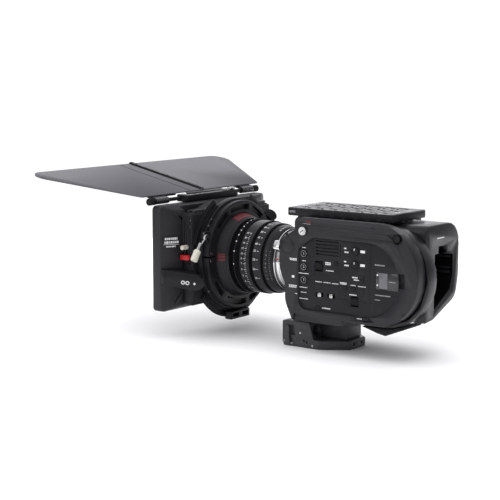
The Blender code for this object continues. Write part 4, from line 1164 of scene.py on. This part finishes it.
def mount_lever():
    """The lever on the adapter with its round sleeve, and the dome at the body's front corner."""
    carved("mount_lever", PANEL)
    sleeve = Shape()
    squashed = Matrix.Rotation(math.radians(-90), 4, "Z") @ Matrix.Diagonal((0.62, 1.0, 1.0, 1.0))
    sleeve.lathe([(0.0, 0.0), (5.0, 0.0), (6.6, 1.6), (7.6, 5.0), (7.2, 9.5), (5.6, 11.6), (0.0, 12.0)],
                 sides=40, place=around(30) @ Matrix.Translation((38.8, 2.4, 0)) @ squashed)
    piece("lever_sleeve", sleeve, "mount_lever", PANEL)
    boss = Shape()
    boss.lathe([(0.0, 8.6), (5.4, 8.6), (8.0, 9.6), (9.8, 12.4), (10.6, 17.0), (11.6, 26.0), (0.0, 26.0)],
               sides=48, centre=(49.0, 26.0))
    boss.lathe_x((25.5, 29.5), [(0, -0.6), (10.4, -0.6), (9.8, 0.5), (8.2, 1.5), (5.8, 2.3), (3.0, 2.8),
                                (0, 2.9)], COVER_FACE)
    piece("front_boss", boss, "left_cover", SHELL)


# ---------------------------------------------------------------- matte box


def hood():
    carved("hood", HOOD, soften=0.8)
    lining = Shape()
    for k in range(4):
        y = -156.5 + 3.2 * k
        lining.box((-112.3, 112.3), (y, y + 0.8), (69.0, 69.4), bevel=0)
        lining.box((-112.3, 112.3), (y, y + 0.8), (-66.5, -66.1), bevel=0)
        for side in (-1, 1):
            lining.box(sorted((side * 112.0, side * 112.4)), (y, y + 0.8), (-66, 69), bevel=0)
    piece("hood_inner_ribs", lining, "hood", INNER)


# The near wall of the hood slopes from its rim in to the stage. A place on it is the fraction
# of the way in and a height.
SLOPE_START = Vector((115.5, -145.0, 0.0))
SLOPE_END = Vector((86.0, -131.0, 0.0))


def on_slope(side, share, height, lift=0.0):
    along = SLOPE_END - SLOPE_START
    out = Vector((-along.y, along.x, 0)).normalized()
    out = out if out.x > 0 else -out
    point = SLOPE_START + along * share + out * lift
    return (side * point.x, point.y, height)


def slope_slab(shape, side, corners, low=-0.6, high=0.8, bevel=0.25):
    """A plate on the hood's sloping wall, its corners given as (share, height)."""
    bm = bmesh.new()
    base = [bm.verts.new(on_slope(side, share, height, low)) for share, height in corners]
    top = [bm.verts.new(on_slope(side, share, height, high)) for share, height in corners]
    bm.faces.new(base)
    bm.faces.new(top)
    join_loops(bm, [(base, top)])
    shape.take(bm, bevel)


# Rows of small print on the hood's plate: (shares of the wall, height of the top, how high).
HOOD_PRINT = ((0.20, 0.78, 30.2, 3.0), (0.18, 0.80, 25.4, 3.0), (0.26, 0.66, 19.2, 1.8))


def hood_fittings():
    ribs, plates, marks, slots = Shape(), Shape(), Shape(), Shape()
    for side in (1, -1):
        slope_slab(ribs, side, [(0.55, 62), (0.68, 62), (0.98, 50), (0.98, 56)], high=1.8, bevel=0.5)
        slope_slab(ribs, side, [(0.96, -44), (0.96, -52), (0.70, -60), (0.60, -60)], high=1.8, bevel=0.5)
        slope_slab(plates, side, [(0.07, 33.0), (0.86, 32.0), (0.86, 14.6), (0.07, 16.2)],
                   high=0.6, bevel=0.15)
        # Painted shade: black strips on the slope stand for slots.
        slope_slab(slots, side, [(0.35, -9.2), (0.80, -10.8), (0.80, -13.2), (0.35, -11.8)],
                   high=0.3, bevel=0.1)
        for row, (share, end, top, tall) in enumerate(HOOD_PRINT):
            chance = random.Random(7 + row)
            low = top - tall
            while share < end:
                stop = share + chance.uniform(0.04, 0.10)
                slope_slab(marks, side, [(share, top), (stop, top), (stop, low), (share, low)],
                           low=0.5, high=0.72, bevel=0)
                share = stop + 0.025
        slope_slab(marks, side, [(0.14, 21.6), (0.82, 20.9), (0.82, 20.4), (0.14, 21.1)],
                   low=0.5, high=0.72, bevel=0)
    piece("hood_ribs", ribs, "hood", HOOD)
    piece("hood_plates", plates, "hood", BLACK)
    piece("hood_plate_print", marks, "hood", WHITE)
    piece("hood_slots", slots, "hood", BLACK)


def filter_stage():
    (_, edge), (_, rear), _ = limits("filter_stage")
    tools = Shape()
    for side in (1, -1):
        for y0 in (-128.6, -124.4):
            tools.box(sorted((side * (edge - 2.2), side * (edge + 1))), (y0, y0 + 2.2), (24.5, 42.0), bevel=0)
        tools.box(sorted((side * (edge - 1.2), side * (edge + 1))), (-119.6, -117.4), (-8.0, 52.0), bevel=0)
    carved("filter_stage", STAGE, [tools], soften=0.4)
    gusset, ribs = Shape(), Shape()
    for side in (1, -1):
        outline = ((71, 61.4), (90, 71.2), (88, 72.4), (42, 72.4), (38, 71.0))
        gusset.prism([(side * x, height) for x, height in outline], "Y", (-134.0, -131.2), bevel=0.5)
        for k in range(5):
            place = -129.8 + 3.4 * k
            ribs.box(sorted((side * (edge - 0.4), side * (edge + 1.6))), (place, place + 1.7), (21.0, 60.0),
                     bevel=0.5)
    piece("stage_gussets", gusset, "hood", HOOD)
    piece("stage_side_ribs", ribs, "filter_stage", HOOD)
    lip = Shape()
    lip.lathe([(60.0, rear + 0.2), (60.0, rear - 2.0), (58.6, rear - 2.0), (58.6, rear + 0.2)], sides=128)
    piece("stage_opening_lip", lip, "filter_stage", LENS_DARK)


def filter_trays():
    for node in ("front_filter_tray", "rear_filter_tray"):
        _, (front, rear), (_, top) = limits(node)
        carved(node, HOOD, soften=0.4)
        tab = Shape().box((-22.0, 22.0), (front + 0.2, rear - 0.2), (top - 2.0, top - 0.05), bevel=0.4)
        for k in range(8):
            left = -17.5 + 4.6 * k
            tab.box((left, left + 2.0), (front - 0.1, rear + 0.1), (top - 3.2, top - 0.3))
        piece(node + "_grip", tab, node, ANODISED)


# Steps of the guard around the stage ring: (inner radius, outer radius, its rear face).
GUARD_STEPS = (
    (76.2, 79.6, -109.6), (79.6, 82.4, -111.6), (83.2, 86.0, -111.2), (82.4, 88.4, -112.6),
)


def stage_ring():
    front, rear = limits("stage_ring")[1]
    ring = Shape().lathe([
        (75.6, rear), (76.6, rear - 0.5), (77.0, rear - 1.6), (77.0, -109.2), (76.3, -109.6), (76.3, -110.4),
        (77.0, -110.8), (77.0, front), (58.5, front), (58.5, rear),
    ], sides=160)
    piece("stage_ring_turned", ring, "stage_ring", ANODISED, ["stage_ring"])
    plate = Shape()
    for start, end in ((14, 62), (118, 166), (-142, -38)):
        for inner, outer, back in GUARD_STEPS:
            outline = arc_points(outer, start, end, 20) + arc_points(inner, end, start, 20)
            plate.prism(outline, "Y", (-113.9, back), bevel=0.3)
    piece("stage_ring_guard", plate, "stage_ring", ANODISED)
    screws = []
    for angle in (44, 36, 136, 144, 216, 324):
        u, v = math.cos(math.radians(angle)) * 75.2, math.sin(math.radians(angle)) * 75.2
        screws.append(((u, rear - 0.2, v), (0, 1, 0), 1.5))
    cap_screws(("stage_ring_screws", "stage_ring_sockets"), "stage_ring", STEEL, screws)


def clamp_ring():
    carved("clamp_ring", ANODISED, soften=0.35)
    front, rear = limits("clamp_ring")[1]
    lining = Shape().lathe([(57.6, rear + 0.1), (57.6, front), (57.0, front), (57.0, rear + 0.1)], sides=128)
    piece("clamp_lining", lining, "clamp_ring", RUBBER)
    lever_front, lever_rear = limits("clamp_lever")[1]
    hub, collar, start, end = [
        Vector((x, -98.6, h)) for x, h in ((77.0, 31.0), (88.1, 24.0), (94.0, 15.4), (102.9, 2.1))
    ]
    lever = Shape()
    lever.disc((hub.x, max(lever_front, -100.6), hub.z), (hub.x, min(lever_rear, -96.6), hub.z), 4.0,
               bevel=0.5)
    lever.disc(hub, start, 1.5, sides=20, bevel=0)
    lever.disc(collar, start, 2.9, sides=28, bevel=0.4)
    piece("lever_stem", lever, "clamp_lever", STEEL, ["clamp_lever"])
    grip = Shape()
    turn = Vector((0, 1, 0)).rotation_difference((end - start).normalized()).to_matrix().to_4x4()
    length = (end - start).length
    grip.lathe([
        (3.6, 0), (4.6, 0.8), (5.0, 2.0), (5.0, length - 1.6), (4.4, length - 0.4), (0, length), (0, 0),
    ], sides=10, place=Matrix.Translation(start) @ turn, bevel=0.3)
    piece("lever_grip", grip, "clamp_lever", IVORY)
    cap_screws(("clamp_screws", "clamp_sockets"), "clamp_ring", STEEL,
               [((x, rear - sunk, h), (0, 1, 0), 1.7)
                for x, h, sunk in ((77.0, 36.0, 4.4), (68.0, -2.0, 0.3), (67.0, 8.0, 0.3))])


def stage_hardware():
    angle = math.radians(149)
    out = Vector((math.cos(angle), 0, math.sin(angle)))
    knob = Shape()
    base = Vector((0, -104, 0))
    knurled(knob, base + out * 78.0, base + out * 92.5, 9.0, 26, depth=0.6, cap=1.0)
    piece("lock_knob_ribbed", knob, "stage_lock_knob", RUBBER, ["stage_lock_knob"])
    carved("tray_lock_lever", RED, soften=0.5)
    screw = Shape()
    start, end = limits("stage_thumbscrew")[0]
    line = (-123.5, 17)
    knurled(screw, (start, *line), (start + 4.2, *line), 3.2, 20, depth=0.25, cap=0.5)
    screw.disc((start + 4.0, *line), (start + 5.6, *line), 2.0, sides=24, bevel=0.2)
    knurled(screw, (start + 5.4, *line), (end, *line), 3.1, 20, depth=0.25, cap=0.6)
    piece("thumbscrew_ribbed", screw, "stage_thumbscrew", IVORY, ["stage_thumbscrew"])
    cap_screws(("stage_screws", "stage_sockets"), "filter_stage", STEEL,
               [((85.6, -116.6, height), (0.5, 1, 0), 1.6) for height in (53.0, 44.5)])


# A pod's outer face runs between two places. Holes on it, drawn as black discs of painted shade: (distance
# along it, height, radius).
POD_HOLES = ((7.6, -23.9, 1.3), (11.6, -25.2, 1.7), (15.6, -27.4, 1.5), (19.0, -28.0, 0.9))
ARM_START = Vector((117.0, -139.5, 0.0))
ARM_END = Vector((91.0, -97.5, 0.0))


def side_arms():
    """Pods on the stage's sides, with a row of holes and two ringed bores in the outer face, the holes drawn
    as black discs of painted shade.
    """
    along = (ARM_END - ARM_START).normalized()
    out = Vector((-along.y, along.x, 0))
    out = out if out.x > 0 else -out
    for node, side in (("side_arm_left", 1), ("side_arm_right", -1)):
        carved(node, PANEL)
        holes, rims, dots = Shape(), Shape(), Shape()

        def face(distance, height, lift):
            point = ARM_START + along * distance + out * lift
            return (side * point.x, point.y, height)

        # Painted shade: black discs stand for the holes, and for the bores inside the white rims.
        for distance, height, radius in POD_HOLES:
            holes.disc(face(distance, height, -0.4), face(distance, height, 0.12), radius, sides=24, bevel=0)
        for distance, height in ((26.8, -28.0), (32.6, -28.6)):
            rims.disc(face(distance, height, -0.4), face(distance, height, 0.35), 2.7, sides=32, bevel=0.2)
            holes.disc(face(distance, height, 0), face(distance, height, 0.45), 1.5, sides=24, bevel=0)
        dots.disc(face(42.0, -29.6, -0.3), face(42.0, -29.6, 0.25), 1.5, sides=24, bevel=0.1)
        piece(node + "_holes", holes, node, BLACK)
        piece(node + "_rims", rims, node, WHITE)
        piece(node + "_dot", dots, node, WHITE)
    carved("bottom_bracket", ANODISED, soften=0.2)


HINGE_LINE = (-161.0, 77.5)
HINGE = (0.0, *HINGE_LINE)
FLAG_TILT = math.radians(12.4)
RIB_ENDS = (-142.5, -7.0)
RIDGES_START = 82.4


def flag():
    """The flag's sheet, its dark spine and the edge of the half that lies under the other."""
    carved("top_flag", FLAG)
    tilt = Matrix.Translation(HINGE) @ Matrix.Rotation(-FLAG_TILT, 4, "X")
    spine = Shape().box((-3.2, 3.2), RIB_ENDS, (6.75, 9.25), bevel=0.5, place=tilt)
    spine.box((-4.6, 4.6), RIB_ENDS, (6.6, 7.5), bevel=0.3, place=tilt)
    spine.box((24.6, 26.2), (RIB_ENDS[0] + 3.0, RIB_ENDS[1] - 1.0), (6.5, 7.1), bevel=0.1, place=tilt)
    piece("flag_spine", spine, "top_flag", ANODISED)
    knuckle = Shape().box((-39.4, 39.4), (-2.6, 2.4), (2.8, 5.3), bevel=0.3, place=tilt)
    knuckle.box((-39.4, 39.4), (-6.0, 1.5), (5.2, 6.0), bevel=0.2, place=tilt)
    for side in (1, -1):
        knuckle.box(sorted((side * 58.0, side * 80.0)), (-8.0, -5.6), (2.9, 5.3), bevel=0.3, place=tilt)
    for k in range(12):
        left = -37.0 + 6.4 * k
        knuckle.box((left, left + 3.2), (-2.9, 2.6), (3.2, 4.9), bevel=0.3, place=tilt)
    piece("flag_knuckle", knuckle, "top_flag", ANODISED)
    up = tilt.to_3x3() @ Vector((0, 0, 1))
    cap_screws(("flag_spine_screws", "flag_spine_sockets"), "top_flag", GUNMETAL,
               [(tilt @ Vector((0, reach, 9.0)), up, 1.4) for reach in (-16.0, -72.0, -132.0)])


def flag_hinge():
    axle = Shape()
    left, right = limits("flag_hinge_rod")[0]
    axle.disc((left, *HINGE_LINE), (right, *HINGE_LINE), 2.6, sides=40, bevel=0.4)
    piece("hinge_rod_round", axle, "flag_hinge_rod", ANODISED, ["flag_hinge_rod"])
    for side, name in ((1, "left"), (-1, "right")):
        node = f"flag_clamp_{name}"
        carved(node, ANODISED, soften=0.3)
        teeth = Shape()
        for k in range(9):
            start = side * (RIDGES_START + 2.9 * k)
            low, high = sorted((start, start + side * 1.5))
            teeth.lathe_x(HINGE_LINE, [(4.75, low), (4.75, high), (4.0, high), (4.0, low)], 0, sides=40)
        piece(f"clamp_{name}_ridges", teeth, node, GREY_STEEL)
        knob = Shape()
        start, end = sorted(limits(f"flag_knob_{name}")[0], key=abs)
        knurled(knob, (start, *HINGE_LINE), (end, *HINGE_LINE), 4.8, 22, depth=0.3, cap=0.8)
        piece(f"flag_knob_{name}_ribbed", knob, f"flag_knob_{name}", RUBBER, [f"flag_knob_{name}"])


def flag_mount():
    carved("flag_mount", ANODISED, soften=0.25)
    _, (front, _), (_, top) = limits("flag_mount")
    grip = Shape()
    for side in (-1, 1):
        for k in range(5):
            left = side * 43.0 + side * 2.6 * k
            grip.box(sorted((left, left + side * 1.4)), (front + 0.4, front + 9.0), (top - 0.2, top + 0.35),
                     bevel=0.15)
    piece("mount_serrations", grip, "flag_mount", GREY_STEEL)
    lever = Shape()
    low, high = limits("flag_lock_lever")[2]
    lever.disc((-48, -150.5, low), (-48, -150.5, high), 4.0, bevel=0.4)
    lever.box((-46.0, -26.0), (-152.5, -148.5), (low + 0.3, high - 0.3), bevel=0.8)
    piece("lock_lever_smooth", lever, "flag_lock_lever", STEEL, ["flag_lock_lever"])
    places = ((30.0, -149.8), (44.0, -149.8), (-34.0, -158.0), (20.0, -149.8))
    cap_screws(("mount_screws", "mount_sockets"), "flag_mount", STEEL,
               [((*place, top - 0.4), (0, 0, 1), 1.8) for place in places])


# ---------------------------------------------------------------- base


def base():
    edge = limits("base_plate")[0][1]
    tools = Shape()
    for side in (1, -1):
        tools.prism([(8, -79.0), (20, -79.0), (22, -92.0), (8, -92.0)], "X", sorted((side * 38.8, side * 44)))
        tools.disc((side * 40.0, 36.4, -97.6), (side * 44.0, 36.4, -97.6), 1.9, sides=24, bevel=0)
        tools.disc((side * 40.0, 41.0, -99.6), (side * 44.0, 41.0, -99.6), 1.9, sides=24, bevel=0)
    for sx in (-9.0, 9.0):
        tools.disc((sx, 88.0, -101.0), (sx, 96.0, -101.0), 2.2, sides=24, bevel=0)
    carved("base_plate", BASE, [tools], soften=0.3)
    screws = []
    for side in (1, -1):
        for place in ((5.2, -100.6), (16.2, -102.6), (30.0, -88.0), (49.0, -103.0)):
            screws.append(((side * (edge - 0.4), *place), (side, 0, 0), 1.5))
        for height in (-78.0, -92.5):
            screws.append(((side * 22.0, 2.4, height), (0, -1, 0), 1.6))
    cap_screws(("base_screws", "base_sockets"), "base_plate", STEEL, screws)
    carved("camera_riser", BASE, soften=0.4)


def base_lever_and_pads():
    lever = Shape()
    inner, outer = limits("rod_lock_lever")[0]
    lever.disc((inner, 12, -99), (outer, 12, -99), 4.2, bevel=0.4)
    lever.prism([(9.6, -99), (14.4, -99), (15.0, -82), (13.6, -79.0), (10.4, -79.0), (9.0, -82)], "X",
                (inner + 0.9, outer - 0.2), bevel=0.5)
    piece("rod_lever_smooth", lever, "rod_lock_lever", BASE, ["rod_lock_lever"])
    pad = carved("shoulder_pad", RUBBER)
    pad.name = "shoulder_pad_soft"
    feet = Shape().box((-30.0, 30.0), (6.0, 56.0), (-106.98, -106.6), bevel=0.1)
    piece("base_foot_pad", feet, "base_plate", RUBBER)


def inside():
    """Nodes that are shown as they are only get their slot's material."""
    for node in ("image_sensor", "main_board", "nd_turret"):
        materials = NODES[node].data.materials
        materials.clear()
        materials.append(SLOT_FINISH[SLOT_OF[node]])


# ---------------------------------------------------------------- studio


# The floor and the lights, in metres. The room's light is even, plus more from above and from the
# side behind the object.
FLOOR_RADIUS = 1.1
ROOM_LIGHT = 0.31
SKY_LIGHT = 0.45
BACK_LIGHT = 1.5
BACK_DIRECTION = (-0.80, -0.60, 0.0)
OVERHEAD_POWER = 2.7
OVERHEAD_SPREAD = math.radians(100)
OVERHEAD_TURN = (math.radians(16), math.radians(4), 0)
SIDE_POWER = 9.5
SIDE_PLACE = (2.6, -1.0, 1.1)
SIDE_SIZE = (1.4, 1.6)

# The camera: its place, how far it turns from facing -X, how far it looks down, and its lens.
CAMERA_PLACE = (1494.3, 1035.7, 273.0)
VIEW_TURN = math.radians(36.82)
VIEW_DROP = math.radians(8.12)
LENS_LENGTH = 99.45


def area_light(name, place, target, size, power):
    light = bpy.data.lights.new(name, "AREA")
    light.shape = "RECTANGLE"
    light.size, light.size_y = size
    light.energy = power
    obj = bpy.data.objects.new(name, light)
    obj.location = place
    obj.rotation_euler = (Vector(target) - Vector(place)).to_track_quat("-Z", "Y").to_euler()
    bpy.context.scene.collection.objects.link(obj)


def room():
    """A white backdrop to look at. It lights evenly, and more from above and behind the object."""
    world = bpy.data.worlds.new("white_room")
    bpy.context.scene.world = world
    graph = Graph(world)
    seen = graph.tree.nodes["Background"]
    set_input(seen, "Color", (1, 1, 1, 1))
    set_input(seen, "Strength", 1.05)
    direction = graph.node("TexCoord").outputs["Generated"]
    strengths = []
    for axis, start, end, top in (((0, 0, 1), 0.10, 0.85, SKY_LIGHT),
                                  (BACK_DIRECTION, 0.55, 0.95, BACK_LIGHT)):
        along = graph.node("VectorMath")
        along.operation = "DOT_PRODUCT"
        along.inputs[1].default_value = axis
        graph.link(direction, along.inputs[0])
        strengths.append(graph.ranged(along.outputs["Value"], 0.0, top, start, end, "SMOOTHSTEP"))
    lit = graph.node("Background")
    set_input(lit, "Color", (0.97, 0.97, 1.0, 1))
    graph.link(graph.sum(graph.sum(*strengths), ROOM_LIGHT), lit.inputs["Strength"])
    mix = graph.node("MixShader")
    graph.link(graph.node("LightPath").outputs["Is Camera Ray"], mix.inputs[0])
    graph.link(lit.outputs[0], mix.inputs[1])
    graph.link(seen.outputs[0], mix.inputs[2])
    graph.link(mix.outputs[0], graph.tree.nodes["World Output"].inputs["Surface"])


def studio():
    """A pale floor in the room, a broad light overhead and a soft one at the operator's side."""
    bm = bmesh.new()
    bmesh.ops.create_circle(bm, cap_ends=True, segments=96, radius=FLOOR_RADIUS)
    mesh = bpy.data.meshes.new("floor")
    bm.to_mesh(mesh)
    bm.free()
    floor = bpy.data.objects.new("floor", mesh)
    bpy.context.scene.collection.objects.link(floor)
    pale = Finish("floor_paper", (0.93, 0.93, 0.93), 0.9)
    set_input(pale.shader, "Specular IOR Level", 0.0)
    mesh.materials.append(pale.material)

    room()
    sky = bpy.data.lights.new("overhead", "SUN")
    sky.energy = OVERHEAD_POWER
    sky.angle = OVERHEAD_SPREAD
    overhead = bpy.data.objects.new("overhead", sky)
    overhead.rotation_euler = OVERHEAD_TURN
    overhead.visible_glossy = False
    bpy.context.scene.collection.objects.link(overhead)
    area_light("side_fill", SIDE_PLACE, at(0, 0, 0), SIDE_SIZE, SIDE_POWER)
    bpy.context.scene.view_settings.view_transform = "Standard"


def camera():
    made = bpy.data.cameras.new("camera")
    made.lens = LENS_LENGTH
    made.sensor_width = 36.0
    made.clip_start = 0.05
    made.clip_end = 100.0
    obj = bpy.data.objects.new("camera", made)
    obj.location = at(*CAMERA_PLACE)
    ahead = Vector((
        -math.cos(VIEW_DROP) * math.cos(VIEW_TURN),
        -math.cos(VIEW_DROP) * math.sin(VIEW_TURN),
        -math.sin(VIEW_DROP),
    ))
    obj.rotation_euler = ahead.to_track_quat("-Z", "Y").to_euler()
    bpy.context.scene.collection.objects.link(obj)
    bpy.context.scene.camera = obj


camera()
studio()
control_panel()
body_print()
assign_buttons()
record_button()
dials_and_wheels()
keys_and_switches()
media_door()
left_cover()
mid_frame()
right_cover()
battery_end()
top_plate()
lens_barrel()
focus_ring()
zoom_ring()
iris_ring()
lens_inside()
camera_mount()
mount_adapter()
mount_lever()
hood()
hood_fittings()
filter_stage()
filter_trays()
stage_ring()
clamp_ring()
stage_hardware()
side_arms()
flag()
flag_hinge()
flag_mount()
base()
base_lever_and_pads()
inside()

bpy.context.view_layer.update()
